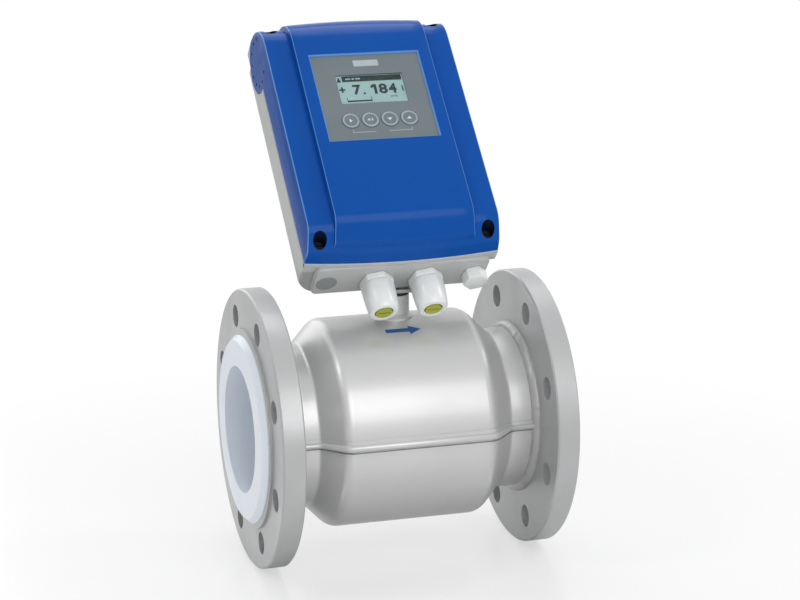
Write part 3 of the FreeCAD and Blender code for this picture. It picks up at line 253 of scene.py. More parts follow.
def makeTurnedRings(values):
    # concentric tool marks round the pipe axis
    group, start, end, place = newGroup(
        "turnedRings",
        [("Pitch", "NodeSocketFloat", values["pitch"]), ("Depth", "NodeSocketFloat", values["depth"])],
        [("Height", "NodeSocketFloat")])
    split = group.nodes.new("ShaderNodeSeparateXYZ")
    group.links.new(place, split.inputs[0])
    square = mathNode(group, "ADD", mathNode(group, "POWER", split.outputs["Y"], 2.0),
                      mathNode(group, "POWER", split.outputs["Z"], 2.0))
    reach = mathNode(group, "SQRT", square, 0.0)
    turns = mathNode(group, "MULTIPLY", reach, 2 * math.pi)
    turns = mathNode(group, "DIVIDE", turns, start.outputs["Pitch"])
    wave = mathNode(group, "SINE", turns, 0.0)
    group.links.new(mathNode(group, "MULTIPLY", wave, start.outputs["Depth"]), end.inputs["Height"])
    return group


paintGrain = makePaintGrain(paintValues)
turnedRings = makeTurnedRings(ringValues)

# each finish says what differs from a plain one; bump in millimetres, grain and patches per metre
plainFinish = dict(metallic=0.0, roughness=0.45, spread=0.10, bump=0.01, coat=0.0, gloss=0.5, rings=False,
                   bumpStrength=0.5, coatRoughness=0.08)
finishes = {
    "silverPaint": dict(color=(0.570, 0.576, 0.570), shade=(0.524, 0.530, 0.524), metallic=0.35,
                        roughness=0.36, spread=0.14, grain=700, patches=9, bump=0.02, coat=0.25),
    "flangePaint": dict(color=(0.45, 0.457, 0.46), shade=(0.39, 0.397, 0.40), metallic=0.35, roughness=0.40,
                        spread=0.34, grain=800, patches=12, bump=0.05, coat=0.15, rings=True),
    "castGrey": dict(color=(0.50, 0.515, 0.51), shade=(0.46, 0.475, 0.47), roughness=0.42, spread=0.12,
                     grain=1100, patches=16, bump=0.02, coat=0.1),
    "coverBlue": dict(color=(0.004, 0.080, 0.375), shade=(0.003, 0.070, 0.345), roughness=0.18, spread=0.05,
                      grain=900, patches=11, bump=0.004, gloss=0.1),
    "weldPaint": dict(color=(0.44, 0.445, 0.44), shade=(0.36, 0.365, 0.36), metallic=0.2, roughness=0.36,
                      spread=0.14, grain=500, patches=60, bump=0.04, coat=0.1),
    # painted shade: near-black walls for the screw wells and the ear dots
    "paintedWellShade": dict(color=(0.004, 0.010, 0.035), shade=(0.003, 0.007, 0.025), roughness=0.5, grain=900,
                     patches=60, gloss=0.2),
    # painted highlight: a pale strip along the base's edge at the parting
    "paintedRimHighlight": dict(color=(0.62, 0.69, 0.76), shade=(0.57, 0.64, 0.71), roughness=0.35, grain=900,
                     patches=40, coat=0.1),
    # painted shadow: a dark grey strip under each shell lap
    "paintedSeamShadow": dict(color=(0.25, 0.252, 0.255), shade=(0.21, 0.212, 0.215), metallic=0.2, roughness=0.5,
                      spread=0.12, grain=900, patches=40),
    "plateGrey": dict(color=(0.41, 0.46, 0.47), shade=(0.37, 0.42, 0.43), grain=1500, patches=90,
                      bump=0.005),
    # painted shade: a darker grey disc for the closed entry's recess
    "paintedRecessShade": dict(color=(0.27, 0.29, 0.295), shade=(0.23, 0.25, 0.255), spread=0.12, grain=1100,
                     patches=60, bump=0.02),
    # painted highlight: a lighter blue laid on the cover's rounded ridges and the window's edge
    "paintedEdgeHighlight": dict(color=(0.115, 0.290, 0.640), shade=(0.090, 0.260, 0.600), roughness=0.16, grain=900,
                      patches=40, gloss=0.3),
    "turnedSteel": dict(color=(0.62, 0.62, 0.62), shade=(0.55, 0.55, 0.55), metallic=1.0, roughness=0.32,
                        spread=0.16, grain=600, patches=40),
    # painted shade: the cover screws are made near-black so the screw wells read dark
    "paintedScrewShade": dict(color=(0.03, 0.03, 0.032), shade=(0.02, 0.02, 0.022), metallic=0.7, roughness=0.42,
                       spread=0.16, grain=900, patches=80),
    "linerWhite": dict(color=(0.80, 0.86, 0.93), shade=(0.77, 0.83, 0.91), roughness=0.34, grain=500,
                       patches=12, coat=0.1),
    "coreSteel": dict(color=(0.20, 0.20, 0.21), shade=(0.14, 0.14, 0.15), metallic=0.8, roughness=0.5,
                      spread=0.2, grain=500, patches=40, bump=0.03),
    "windingCopper": dict(color=(0.55, 0.22, 0.09), shade=(0.45, 0.16, 0.06), metallic=0.9, roughness=0.35,
                          spread=0.2, grain=1500, patches=60, bump=0.05, coat=0.3),
    "blackMoulding": dict(color=(0.025, 0.025, 0.027), shade=(0.018, 0.018, 0.02), spread=0.15, grain=900,
                          patches=50, bump=0.02),
    "sealRubber": dict(color=(0.018, 0.018, 0.018), shade=(0.03, 0.03, 0.03), roughness=0.7, spread=0.15,
                       grain=1200, patches=60, bump=0.02),
    "glandWhite": dict(color=(0.84, 0.855, 0.85), shade=(0.79, 0.81, 0.81), roughness=0.30, grain=700,
                       patches=60, coat=0.2),
    "stopperYellow": dict(color=(0.42, 0.45, 0.03), shade=(0.34, 0.37, 0.02), roughness=0.40, spread=0.12,
                          grain=900, patches=90, coat=0.1),
    "fasciaGrey": dict(color=(0.168, 0.203, 0.220), shade=(0.152, 0.186, 0.202), roughness=0.50, grain=1800,
                       patches=30, gloss=0.2),
    "keyGrey": dict(color=(0.170, 0.205, 0.225), shade=(0.150, 0.185, 0.205), grain=1500, patches=60,
                    gloss=0.2),
    "keyPale": dict(color=(0.33, 0.40, 0.44), shade=(0.30, 0.37, 0.41), grain=1500, patches=60, gloss=0.2),
    "printWhite": dict(color=(0.62, 0.66, 0.68), shade=(0.57, 0.61, 0.63), roughness=0.50, grain=1500,
                       patches=90, bump=0.005),
    "printGrey": dict(color=(0.36, 0.40, 0.41), shade=(0.33, 0.37, 0.38), roughness=0.50, grain=1500,
                      patches=90, bump=0.005),
    "printBlue": dict(color=(0.010, 0.085, 0.27), shade=(0.012, 0.10, 0.31), grain=1200, patches=60,
                      bump=0.005),
    "displayPale": dict(color=(0.27, 0.39, 0.395), shade=(0.24, 0.355, 0.365), spread=0.06, grain=1600,
                        patches=30, bump=0.0),
    "displayInk": dict(color=(0.006, 0.016, 0.018), shade=(0.010, 0.022, 0.024), roughness=0.5, spread=0.06,
                       grain=1600, patches=60, bump=0.0),
    "boardGreen": dict(color=(0.01, 0.12, 0.045), shade=(0.012, 0.16, 0.06), roughness=0.35, spread=0.12,
                       grain=1200, patches=90, coat=0.4),
    "terminalGrey": dict(color=(0.09, 0.10, 0.105), shade=(0.07, 0.08, 0.085), roughness=0.5, spread=0.12,
                         grain=1000, patches=60, bump=0.02),
}


def makeFinish(name, values):
    material = bpy.data.materials.new(name)
    material.use_nodes = True
    tree = material.node_tree
    shader = tree.nodes["Principled BSDF"]
    shader.inputs["Metallic"].default_value = values["metallic"]
    shader.inputs["Specular IOR Level"].default_value = values["gloss"]
    shader.inputs["Coat Weight"].default_value = values["coat"]
    shader.inputs["Coat Roughness"].default_value = values["coatRoughness"]
    grain = tree.nodes.new("ShaderNodeGroup")
    grain.node_tree = paintGrain
    grain.inputs["Color"].default_value = (*values["color"], 1)
    grain.inputs["Shade"].default_value = (*values["shade"], 1)
    grain.inputs["Grain"].default_value = values["grain"]
    grain.inputs["Patches"].default_value = values["patches"]
    grain.inputs["Roughness"].default_value = values["roughness"]
    grain.inputs["Spread"].default_value = values["spread"]
    tree.links.new(grain.outputs["Color"], shader.inputs["Base Color"])
    tree.links.new(grain.outputs["Roughness"], shader.inputs["Roughness"])
    if values["bump"]:
        bump = tree.nodes.new("ShaderNodeBump")
        bump.inputs["Strength"].default_value = values["bumpStrength"]
        bump.inputs["Distance"].default_value = values["bump"] * mm
        height = grain.outputs["Height"]
        if values["rings"]:
            rings = tree.nodes.new("ShaderNodeGroup")
            rings.node_tree = turnedRings
            total = tree.nodes.new("ShaderNodeMath")
            tree.links.new(height, total.inputs[0])
            tree.links.new(rings.outputs["Height"], total.inputs[1])
            height = total.outputs[0]
        tree.links.new(height, bump.inputs["Height"])
        tree.links.new(bump.outputs["Normal"], shader.inputs["Normal"])
    return material


pane = {"color": (0.95, 0.98, 0.97, 1), "shade": (0.93, 0.96, 0.95, 1), "ior": 1.06}


def makePaneGlass(values):
    material = bpy.data.materials.new("paneGlass")
    material.use_nodes = True
    tree = material.node_tree
    shader = tree.nodes["Principled BSDF"]
    shader.inputs["Transmission Weight"].default_value = 1.0
    shader.inputs["IOR"].default_value = values["ior"]
    shader.inputs["Roughness"].default_value = 0.0
    grain = tree.nodes.new("ShaderNodeGroup")
    grain.node_tree = paintGrain
    grain.inputs["Color"].default_value = values["color"]
    grain.inputs["Shade"].default_value = values["shade"]
    tree.links.new(grain.outputs["Color"], shader.inputs["Base Color"])
    return material


materials = {name: makeFinish(name, {**plainFinish, **values}) for name, values in finishes.items()}
materials["paneGlass"] = makePaneGlass(pane)

nodeFinishes = {
    "silverPaint": ["coil_housing_upper", "coil_housing_lower", "neck_stem"],
    "flangePaint": ["inlet_flange", "outlet_flange"],
    "castGrey": ["converter_base", "converter_bracket"],
    "coverBlue": ["converter_cover"],
    "turnedSteel": ["measuring_tube", "electrode_front", "electrode_rear", "electrode_nut_front",
                    "electrode_nut_rear", "display_pillars", "board_screws", "bracket_screws"],
    # the cover screws in near-black, as painted shade in their wells
    "paintedScrewShade": ["cover_screws"],
    "linerWhite": ["liner"],
    "coreSteel": ["pole_shoe_top", "pole_shoe_bottom", "return_yoke"],
    "windingCopper": ["field_coil_top", "field_coil_bottom"],
    "blackMoulding": ["electrode_bush_front", "electrode_bush_rear", "power_module"],
    "sealRubber": ["neck_seal", "cover_gasket", "plug_seal", "gland_o_ring_1", "gland_o_ring_2",
                   "gland_seal_1", "gland_seal_2"],
    "glandWhite": ["blanking_plug", "gland_body_1", "gland_body_2", "gland_nut_1", "gland_nut_2",
                   "gland_locknut_1", "gland_locknut_2"],
    "stopperYellow": ["blanking_disc_1", "blanking_disc_2"],
    "fasciaGrey": ["display_fascia"],
    "keyGrey": ["key_1", "key_2", "key_3", "key_4"],
    "paneGlass": ["display_window"],
    "displayPale": ["lcd_module"],
    "boardGreen": ["display_board", "main_board"],
    "terminalGrey": ["signal_terminals", "supply_terminals"],
}
for finish, names in nodeFinishes.items():
    for name in names:
        for holder in nodes[name].material_slots:
            holder.material = materials[finish]
print("finishes made:", len(materials))


def finishPiece(work, name, finish, body=rootBody, place=None, smooth=False, more=()):
    # millimetres to metres, in place, as an object at the origin
    bmesh.ops.scale(work, verts=work.verts, vec=(mm, mm, mm))
    if place is not None:
        bmesh.ops.transform(work, verts=work.verts, matrix=place)
    bmesh.ops.recalc_face_normals(work, faces=work.faces)
    mesh = bpy.data.meshes.new(name)
    work.to_mesh(mesh)
    work.free()
    for polygon in mesh.polygons:
        polygon.use_smooth = smooth
    for paint in (finish, *more):
        mesh.materials.append(materials[paint])
    piece = bpy.data.objects.new(name, mesh)
    bpy.context.scene.collection.objects.link(piece)
    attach(piece, body)
    return piece


def extrudeFaces(work, faces, vector):
    # flat faces become a closed solid; gives back the vertices that moved
    grown = bmesh.ops.extrude_face_region(work, geom=faces)
    moved = [item for item in grown["geom"] if isinstance(item, bmesh.types.BMVert)]
    bmesh.ops.translate(work, verts=moved, vec=vector)
    return moved


def joinLine(work, chain, closed=False):
    # edges from vertex to vertex, and back to the first if closed
    return [work.edges.new(pair) for pair in zip(chain, chain[1:] + chain[:1] * closed)]


def roundCorner(work, vertex, reach, segments=5):
    bmesh.ops.bevel(work, geom=[vertex], offset=reach, segments=segments, profile=0.5, affect="VERTICES",
                    material=-1)


def peg(work, radius, start, end, place, segments=40):
    # a closed round bar along local z, from start to end
    ring = bmesh.ops.create_circle(work, cap_ends=True, radius=radius, segments=segments)["verts"]
    moved = extrudeFaces(work, ring[0].link_faces[:], (0, 0, end))
    bmesh.ops.translate(work, verts=ring, vec=(0, 0, start))
    bmesh.ops.transform(work, verts=ring + moved, matrix=place)


def softenEdges(piece, angle):
    # smooth shading, with edges sharper than the angle left crisp
    for polygon in piece.data.polygons:
        polygon.use_smooth = True
    piece.data.set_sharp_from_angle(angle=math.radians(angle))


def printOn(work, outline, depth, thickness):
    # a flat print: an outline on the housing's front, as (x, z) points, raised by its thickness
    face = work.faces.new([work.verts.new((x, -depth, z)) for x, z in outline])
    extrudeFaces(work, [face], (0, -thickness, 0))


def bar(x0, z0, x1, z1):  # a rectangle from corner to corner
    return [(x0, z0), (x1, z0), (x1, z1), (x0, z1)]


display = {
    "depth": fasciaDepth - 1.3, "ink": 0.05,
    "header": bar(-22.5, 149.3, 26.6, 154.7),
    "marks": [bar(-19.6, 151.4, -15.4, 152.8), bar(-14.4, 151.4, -12.2, 152.8),
              bar(-11.2, 151.4, -7.4, 152.8)],
    "warning": [(-27.0, 149.2), (-23.4, 149.2), (-25.2, 154.2)],
    "plus": [bar(-26.6, 141.0, -21.6, 142.4), bar(-24.8, 139.0, -23.4, 144.4)],
    "digits": [("7", -15.4, 6.7), ("8", 5.9, 7.0), ("4", 13.9, 6.6)],  # digit, left edge, width
    "digitLow": 136.4, "digitHeight": 9.8, "digitBold": 0.035,
    "one": [(1.6, 145.9), (4.2, 145.9), (4.2, 136.4), (1.9, 136.4), (1.9, 143.0), (-0.6, 142.3),
            (-0.6, 144.2)],
    "point": (-6.5, 137.4, 1.0), "pointSides": 24,
    "gauge": [bar(-22.0, 129.5, -1.6, 131.0), bar(-22.0, 131.0, -21.5, 133.8),
              bar(-2.1, 131.0, -1.6, 134.2)],
    "tick": bar(25.0, 138.0, 26.0, 143.5),
    "unit": ("m³/h", 14.2, 132.4, 5.6, 2.2), "unitBold": 0.01,
}


def writeText(text, bold):
    curve = bpy.data.curves.new("lettering", "FONT")
    curve.body = text
    curve.offset = bold
    curve.extrude = 0.0
    holder = bpy.data.objects.new("lettering", curve)
    bpy.context.scene.collection.objects.link(holder)
    bpy.context.view_layer.update()
    mesh = bpy.data.meshes.new_from_object(holder)
    work = bmesh.new()
    work.from_mesh(mesh)
    bpy.data.objects.remove(holder)
    bpy.data.meshes.remove(mesh)
    return work


def addLetters(work, text, place, size, depth, thickness, bold):
    letters = writeText(text, bold)
    low, high = (Vector([limit(v.co[i] for v in letters.verts) for i in range(3)]) for limit in (min, max))
    width, height = size
    bmesh.ops.translate(letters, verts=letters.verts, vec=-low)
    bmesh.ops.scale(letters, verts=letters.verts,
                    vec=(width / (high.x - low.x), height / (high.y - low.y), 1))
    bmesh.ops.rotate(letters, verts=letters.verts, matrix=towardsReader.to_3x3())
    bmesh.ops.translate(letters, verts=letters.verts, vec=(place[0], -depth, place[1]))
    extrudeFaces(letters, letters.faces[:], (0, -thickness, 0))
    shape = bpy.data.meshes.new("letters")
    letters.to_mesh(shape)
    letters.free()
    work.from_mesh(shape)
    bpy.data.meshes.remove(shape)


def makeDisplay(values):
    depth, ink = values["depth"], values["ink"]
    work = bmesh.new()
    for outline in [values["header"], values["warning"], values["one"], values["tick"], *values["plus"],
                    *values["gauge"]]:
        printOn(work, outline, depth, ink)
    for digit, x, width in values["digits"]:
        addLetters(work, digit, (x, values["digitLow"]), (width, values["digitHeight"]), depth, ink,
                   values["digitBold"])
    x, z, radius = values["point"]
    peg(work, radius, 0, ink, Matrix.Translation((x, -depth, z)) @ towardsReader, values["pointSides"])
    text, x, z, width, height = values["unit"]
    addLetters(work, text, (x, z), (width, height), depth, ink, values["unitBold"])
    finishPiece(work, "displayInk", "displayInk", place=toHousing)
    work = bmesh.new()
    for outline in values["marks"]:  # pale marks on the dark header
        printOn(work, outline, depth + ink, ink)
    finishPiece(work, "displayMarks", "displayPale", place=toHousing)


makeDisplay(display)

keys = {
    "pitch": 15.97, "height": 110.4, "proud": 0.3,
    "ring": [(5.0, 0.0), (5.5, 0.35), (6.5, 0.35), (7.0, 0.0)], "ringSteps": 72,  # radius and rise
    "symbolRise": 0.12,
    "symbols": [
        [(-1.0, -1.9), (1.3, 0.0), (-1.0, 1.9)],
        [(-2.4, 0.0), (-0.6, -1.4), (-0.6, -0.45), (1.3, -0.45), (1.3, 1.3), (2.1, 1.3), (2.1, -1.25),
         (-0.6, -1.25), (-0.6, 1.4)],
        [(0.0, -1.5), (2.1, 1.0), (-2.1, 1.0)],
        [(-2.1, -1.0), (2.1, -1.0), (0.0, 1.5)],
    ],
}
fasciaPrint = {
    "ink": 0.06,
    "lines": [bar(-24.4, 98.7, -5.6, 99.3), bar(-24.4, 99.3, -23.8, 101.8),
              bar(5.2, 98.7, 24.4, 99.3), bar(23.8, 99.3, 24.4, 101.8)],
    "plate": bar(-10.3, 163.4, 10.3, 169.4),
}


def makeKeys(values):
    front = fasciaDepth + values["proud"]
    for step, outline in enumerate(values["symbols"]):
        body = f"key_{step + 1}"
        x, z = values["pitch"] * (step - 1.5), values["height"]  # four keys, evenly about the middle
        ring = bmesh.new()
        section = [ring.verts.new((radius, -rise, 0)) for radius, rise in values["ring"]]
        bmesh.ops.spin(ring, geom=section + joinLine(ring, section, closed=True), axis=(0, 1, 0),
                       angle=2 * math.pi, steps=values["ringSteps"], use_merge=True)
        bmesh.ops.translate(ring, verts=ring.verts, vec=(x, -front, z))
        finishPiece(ring, f"keyRing_{step + 1}", "keyPale", body, toHousing, True)
        symbol = bmesh.new()
        printOn(symbol, [(x + across, z + rise) for across, rise in outline], front, values["symbolRise"])
        finishPiece(symbol, f"keySymbol_{step + 1}", "printWhite", body, toHousing)


def makeFasciaPrint(values):
    work = bmesh.new()
    for outline in values["lines"]:
        printOn(work, outline, fasciaDepth, values["ink"])
    finishPiece(work, "fasciaLines", "printGrey", place=toHousing)
    work = bmesh.new()
    printOn(work, values["plate"], fasciaDepth, values["ink"])
    finishPiece(work, "fasciaPlate", "plateGrey", place=toHousing)


makeKeys(keys)
makeFasciaPrint(fasciaPrint)
print("display, keys and fascia print made")

arrow = {"rise": 0.12, "angle": 68.6, "tail": -14.0, "neck": 5.0, "tip": 14.6, "shaft": 4.6, "head": 11.4,
         "cuts": 11, "cutStep": 0.5}


def makeArrow(values):
    work = bmesh.new()
    half, wide = values["shaft"] / 2, values["head"] / 2
    outline = [(values["tail"], -half), (values["neck"], -half), (values["neck"], -wide), (values["tip"], 0),
               (values["neck"], wide), (values["neck"], half), (values["tail"], half)]
    work.faces.new([work.verts.new((x, y, 0)) for x, y in outline])
    for step in range(-values["cuts"], values["cuts"] + 1):
        bmesh.ops.bisect_plane(work, geom=work.verts[:] + work.edges[:] + work.faces[:],
                               plane_co=(0, step * values["cutStep"], 0), plane_no=(0, 1, 0))
    extrudeFaces(work, work.faces[:], (0, 0, values["rise"]))
    middle = math.radians(values["angle"])
    for vertex in work.verts:  # wrap the flat arrow round the drum
        turn = middle + vertex.co.y / shell["drum"]
        reach = shell["drum"] + vertex.co.z
        vertex.co = (vertex.co.x, -reach * math.cos(turn), reach * math.sin(turn))
    finishPiece(work, "flowArrow", "printBlue")


makeArrow(arrow)
print("flow arrow made")

welds = {
    "points": 9,  # in the arc of a bead
    "reach": 5.3, "start": -4.0, "sweep": 98.0, "ripple": 0.09, "steps": 540,
    "stem": 14.0, "stemReach": 2.1, "stemStart": -10.0, "stemSweep": 110.0, "stemRipple": 0.08,
    "stemWaves": 0.4, "stemSteps": 240,
}


def ripple(turn):  # uneven hand-run bead
    return math.sin(turn * 37) + 0.7 * math.sin(turn * 61 + 1.3) + 0.5 * math.sin(turn * 97 + 0.4)


def beadArc(work, x, z, across, up, start, sweep, points):
    chain = []
    for step in range(points):
        turn = math.radians(start + step * sweep / (points - 1))
        chain.append(work.verts.new((x + across * math.cos(turn), 0, z + up * math.sin(turn))))
    return chain + joinLine(work, chain)


def makeFlangeWeld(name, side, values):
    work = bmesh.new()
    neck, middle = shell["neck"], side * shell["flangeBack"]
    arc = beadArc(work, middle, neck, -side * values["reach"], values["reach"], values["start"],
                  values["sweep"], values["points"])
    bmesh.ops.spin(work, geom=arc, axis=(1, 0, 0), angle=2 * math.pi, steps=values["steps"], use_merge=True)
    for vertex in work.verts:
        swell = 1 + values["ripple"] * ripple(math.atan2(vertex.co.y, vertex.co.z)) / values["reach"]
        reach = math.hypot(vertex.co.y, vertex.co.z)
        grown = (neck + (reach - neck) * swell) / reach
        vertex.co = (middle + (vertex.co.x - middle) * swell, vertex.co.y * grown, vertex.co.z * grown)
    finishPiece(work, name, "weldPaint", smooth=True)


def makeStemWeld(values):
    work = bmesh.new()
    drum, reach = shell["drum"], values["stemReach"]
    arc = beadArc(work, values["stem"], drum, reach, reach, values["stemStart"], values["stemSweep"],
                  values["points"])
    bmesh.ops.spin(work, geom=arc, axis=(0, 0, 1), angle=2 * math.pi, steps=values["stemSteps"],
                   use_merge=True)
    for vertex in work.verts:  # the bead sits on the round of the drum
        turn = math.atan2(vertex.co.y, vertex.co.x) * values["stemWaves"]
        vertex.co.z += values["stemRipple"] * ripple(turn) + math.sqrt(drum ** 2 - vertex.co.y ** 2) - drum
    finishPiece(work, "stemWeld", "weldPaint", smooth=True)


makeFlangeWeld("inletWeld", -1, welds)
makeFlangeWeld("outletWeld", 1, welds)
makeStemWeld(welds)
print("welds made")

cover = {
    "half": 78.4, "back": 43.5, "lift": 0.8, "sideFace": 69.5, "taper": 0.06, "bow": 4.1, "cuts": 12,
    "sideLip": (55.0, 2.6), "lipRound": 3.0, "sideChin": 16.0, "chinRound": 6.0,
    "earDepth": 44.5, "earUp": 194.5, "earSweep": 270.0, "earSteps": 24,
    "bandHalf": 57.5, "bandFace": housing["bandFace"], "bandLip": (62.6, 6.6), "bandLipRound": 1.2,
    "bandChin": 19.0, "bandTop": 220.5, "bandRoll": 28.0, "bandSegments": 8,
    "crown": 2.3, "crownRise": 20.0, "ridge": 1.9, "ridgeStart": 0.6,
    "window": (88.9, 83.0), "windowMid": 133.2, "windowFloor": 60.0, "chamfer": 1.2, "windowPast": 1.0,
    "wellSpots": [(67.7, 9.0), (67.7, 212.0)], "wellFloor": 49.6, "well": 5.4, "wellPast": 30.0,
    "dots": 12, "dotCircle": 19.0, "dot": 1.3, "dotDepth": 1.0, "dotPast": 3.0,
    "softAngle": 24.0,
}


def bowDown(x, values):  # how far the lower edge hangs below its ends
    return values["bow"] * (1 - (x / values["half"]) ** 2)


def shapeCover(work, half, values, crowned):
    # cut across, round the ridges, then bow the lower edge, crown the top and draw the sides in
    for cut in range(1, values["cuts"]):
        bmesh.ops.bisect_plane(work, geom=work.verts[:] + work.edges[:] + work.faces[:],
                               plane_co=(half * (2 * cut / values["cuts"] - 1), 0, 0), plane_no=(1, 0, 0))
    front = values["back"] + values["ridgeStart"]
    ends = [edge for edge in work.edges
            if all(abs(abs(vertex.co.x) - half) < near and -vertex.co.y > front for vertex in edge.verts)]
    # the rounded ridges take the second paint, a lighter blue as painted highlight
    bmesh.ops.bevel(work, geom=ends, offset=values["ridge"], segments=3, profile=0.5, affect="EDGES",
                    material=1, clamp_overlap=True)
    for vertex in work.verts:
        low = max(0.0, min(1.0, (values["sideChin"] - vertex.co.z) / values["sideChin"]))
        vertex.co.z -= bowDown(vertex.co.x, values) * low
        high = max(0.0, min(1.0, (vertex.co.z - values["earUp"]) / values["crownRise"]))
        if crowned:
            vertex.co.z += values["crown"] * (1 - (vertex.co.x / half) ** 2) * high
        if -vertex.co.y > values["back"]:
            vertex.co.x *= 1 - values["taper"] * (-vertex.co.y - values["back"]) / half


def makeSides(values):
    work = bmesh.new()
    half, back, face = values["half"], values["back"], values["sideFace"]
    chain = [work.verts.new((-half, -depth, z)) for depth, z in (
        (back, values["lift"]), values["sideLip"], (face, values["sideChin"]), (face, values["earUp"]))]
    radius = face - values["earDepth"]
    for step in range(1, values["earSteps"] + 1):  # the round top
        turn = math.radians(step * values["earSweep"] / values["earSteps"])
        chain.append(work.verts.new((-half, -values["earDepth"] - radius * math.cos(turn),
                                     values["earUp"] + radius * math.sin(turn))))
    chain.append(work.verts.new((-half, -back, values["earUp"] - radius)))
    work.faces.new(chain)
    roundCorner(work, chain[2], values["chinRound"])
    roundCorner(work, chain[1], values["lipRound"])
    extrudeFaces(work, work.faces[:], (2 * half, 0, 0))
    shapeCover(work, half, values, False)
    return work


def makeBand(values):
    work = bmesh.new()
    half, back, face = values["bandHalf"], values["back"], values["bandFace"]
    chain = [work.verts.new((-half, -depth, z)) for depth, z in (
        (back, values["lift"]), values["bandLip"], (face, values["bandChin"]), (face, values["bandTop"]),
        (back, values["bandTop"]))]
    work.faces.new(chain)
    for vertex, reach in zip(chain[1:4], (values["bandLipRound"], values["chinRound"], values["bandRoll"])):
        roundCorner(work, vertex, reach, values["bandSegments"])
    extrudeFaces(work, work.faces[:], (2 * half, 0, 0))
    shapeCover(work, half, values, True)
    return work


def makeCoverCuts(values):
    # the four screw wells, and a ring of shallow dots on each ear
    work = bmesh.new()
    for x, z in values["wellSpots"]:
        for side in (-1, 1):
            peg(work, values["well"], values["wellFloor"], values["bandFace"] + values["wellPast"],
                Matrix.Translation((x * side, 0, z)) @ towardsReader)
    for side in (-1, 1):
        for dot in range(values["dots"]):
            turn = 2 * math.pi * dot / values["dots"]
            spot = (0, -values["earDepth"] + values["dotCircle"] * math.cos(turn),
                    values["earUp"] + values["dotCircle"] * math.sin(turn))
            peg(work, values["dot"], values["half"] - values["dotDepth"], values["half"] + values["dotPast"],
                Matrix.Translation(spot) @ Matrix.Rotation(side * math.pi / 2, 4, "Y"))
    return work


def makeWindowCut(values):
    # a straight room that widens to the front, past the face of the band
    work = bmesh.new()
    (width, height), rise, past = values["window"], values["chamfer"], values["windowPast"]
    face, middle = values["bandFace"], values["windowMid"]
    outline = bar(-width / 2, middle - height / 2, width / 2, middle + height / 2)
    last = work.faces.new([work.verts.new((x, -values["windowFloor"], z)) for x, z in outline])
    for depth, grow in ((face - rise, 0.0), (face + past, rise + past)):
        before = last
        grown = bmesh.ops.extrude_face_region(work, geom=[last])
        last = next(item for item in grown["geom"] if isinstance(item, bmesh.types.BMFace))
        if grow:  # the face between the two steps would be an inner wall
            bmesh.ops.delete(work, geom=[before], context="FACES_ONLY")
        for vertex in last.verts:
            side = math.copysign(width / 2 + grow, vertex.co.x)
            end = math.copysign(height / 2 + grow, vertex.co.z - middle)
            vertex.co = (side, -depth, middle + end)
    return work


def cutWith(target, name, tool, paint=0):
    # takes the tool out of the piece; the cut walls get the paint of that number
    mesh = bpy.data.meshes.new(name)
    bmesh.ops.scale(tool, verts=tool.verts, vec=(mm, mm, mm))
    bmesh.ops.transform(tool, verts=tool.verts, matrix=toHousing)
    bmesh.ops.recalc_face_normals(tool, faces=tool.faces)
    tool.to_mesh(mesh)
    tool.free()
    for polygon in mesh.polygons:
        polygon.material_index = paint
    cutter = bpy.data.objects.new(name, mesh)
    bpy.context.scene.collection.objects.link(cutter)
    trim = target.modifiers.new(name, "BOOLEAN")
    trim.operation, trim.solver, trim.object = "DIFFERENCE", "EXACT", cutter
    shown = target.evaluated_get(bpy.context.evaluated_depsgraph_get())
    cut = bpy.data.meshes.new_from_object(shown)
    target.modifiers.clear()
    target.data = cut
    bpy.data.objects.remove(cutter)


def makeCover(values):
    # the second paint is a lighter blue as painted highlight on the ridges; the third is a near-black painted
    # shade in the wells and dots
    sides = finishPiece(makeSides(values), "coverSides", "coverBlue", place=toHousing,
                        more=("paintedEdgeHighlight", "paintedWellShade"))
    # the walls of the wells and dots take the near-black painted shade
    cutWith(sides, "coverCuts", makeCoverCuts(values), paint=2)
    cutWith(sides, "windowRoom", makeWindowCut(values))  # the sides run on behind the band
    band = finishPiece(makeBand(values), "coverBand", "coverBlue", place=toHousing,
                       more=("paintedEdgeHighlight",))
    # the window's edge gets the lighter blue of the painted highlight
    cutWith(band, "windowCut", makeWindowCut(values), paint=1)
    for piece in (sides, band):
        softenEdges(piece, values["softAngle"])
    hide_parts("converter_cover")


makeCover(cover)
print("cover made")

foot = {
    "left": -67.8, "right": 72.8, "back": 5.2, "front": 38.9, "low": -3.8, "high": 1.6, "corner": 5.0,
    "edge": 1.1, "lipBack": 38.5, "lipFront": 43.1, "lipTop": 2.0, "lipEnd": 0.2, "lipEdge": 0.5,
    "lipPast": 0.1, "lipCuts": 14, "lineBack": 42.3, "lineWall": 0.45, "lineTop": 168.0,
    "blank": -57.5, "blankDepth": 20.0, "blankRadius": 8.4, "blankRise": 0.35, "blankSunk": 1.0,
    "softAngle": 30.0,
}


def makeFoot(values):
    # the entry box, lower than the rim, with rounded corners
    work = bmesh.new()
    left, right, back, front = (values[side] for side in ("left", "right", "back", "front"))
    chain = [work.verts.new((x, -depth, values["high"]))
             for x, depth in ((left, back), (left, front), (right, front), (right, back))]
    work.faces.new(chain)
    for vertex in chain:
        roundCorner(work, vertex, values["corner"])
    extrudeFaces(work, work.faces[:], (0, 0, values["low"] - values["high"]))
    ends = [edge for edge in work.edges
            if all(abs(vertex.co.z - values["low"]) < near for vertex in edge.verts)]
    bmesh.ops.bevel(work, geom=ends, offset=values["edge"], segments=3, profile=0.5, affect="EDGES",
                    material=-1)
    box = finishPiece(work, "entryBox", "castGrey", place=toHousing)
    softenEdges(box, values["softAngle"])


def bowPath(values):
    # x and z along the lower edge of the parting
    half, cuts = cover["half"] + values["lipPast"], values["lipCuts"]
    spots = [half * (2 * step / cuts - 1) for step in range(cuts + 1)]
    return [(x, values["lipEnd"] - bowDown(x, cover)) for x in spots]


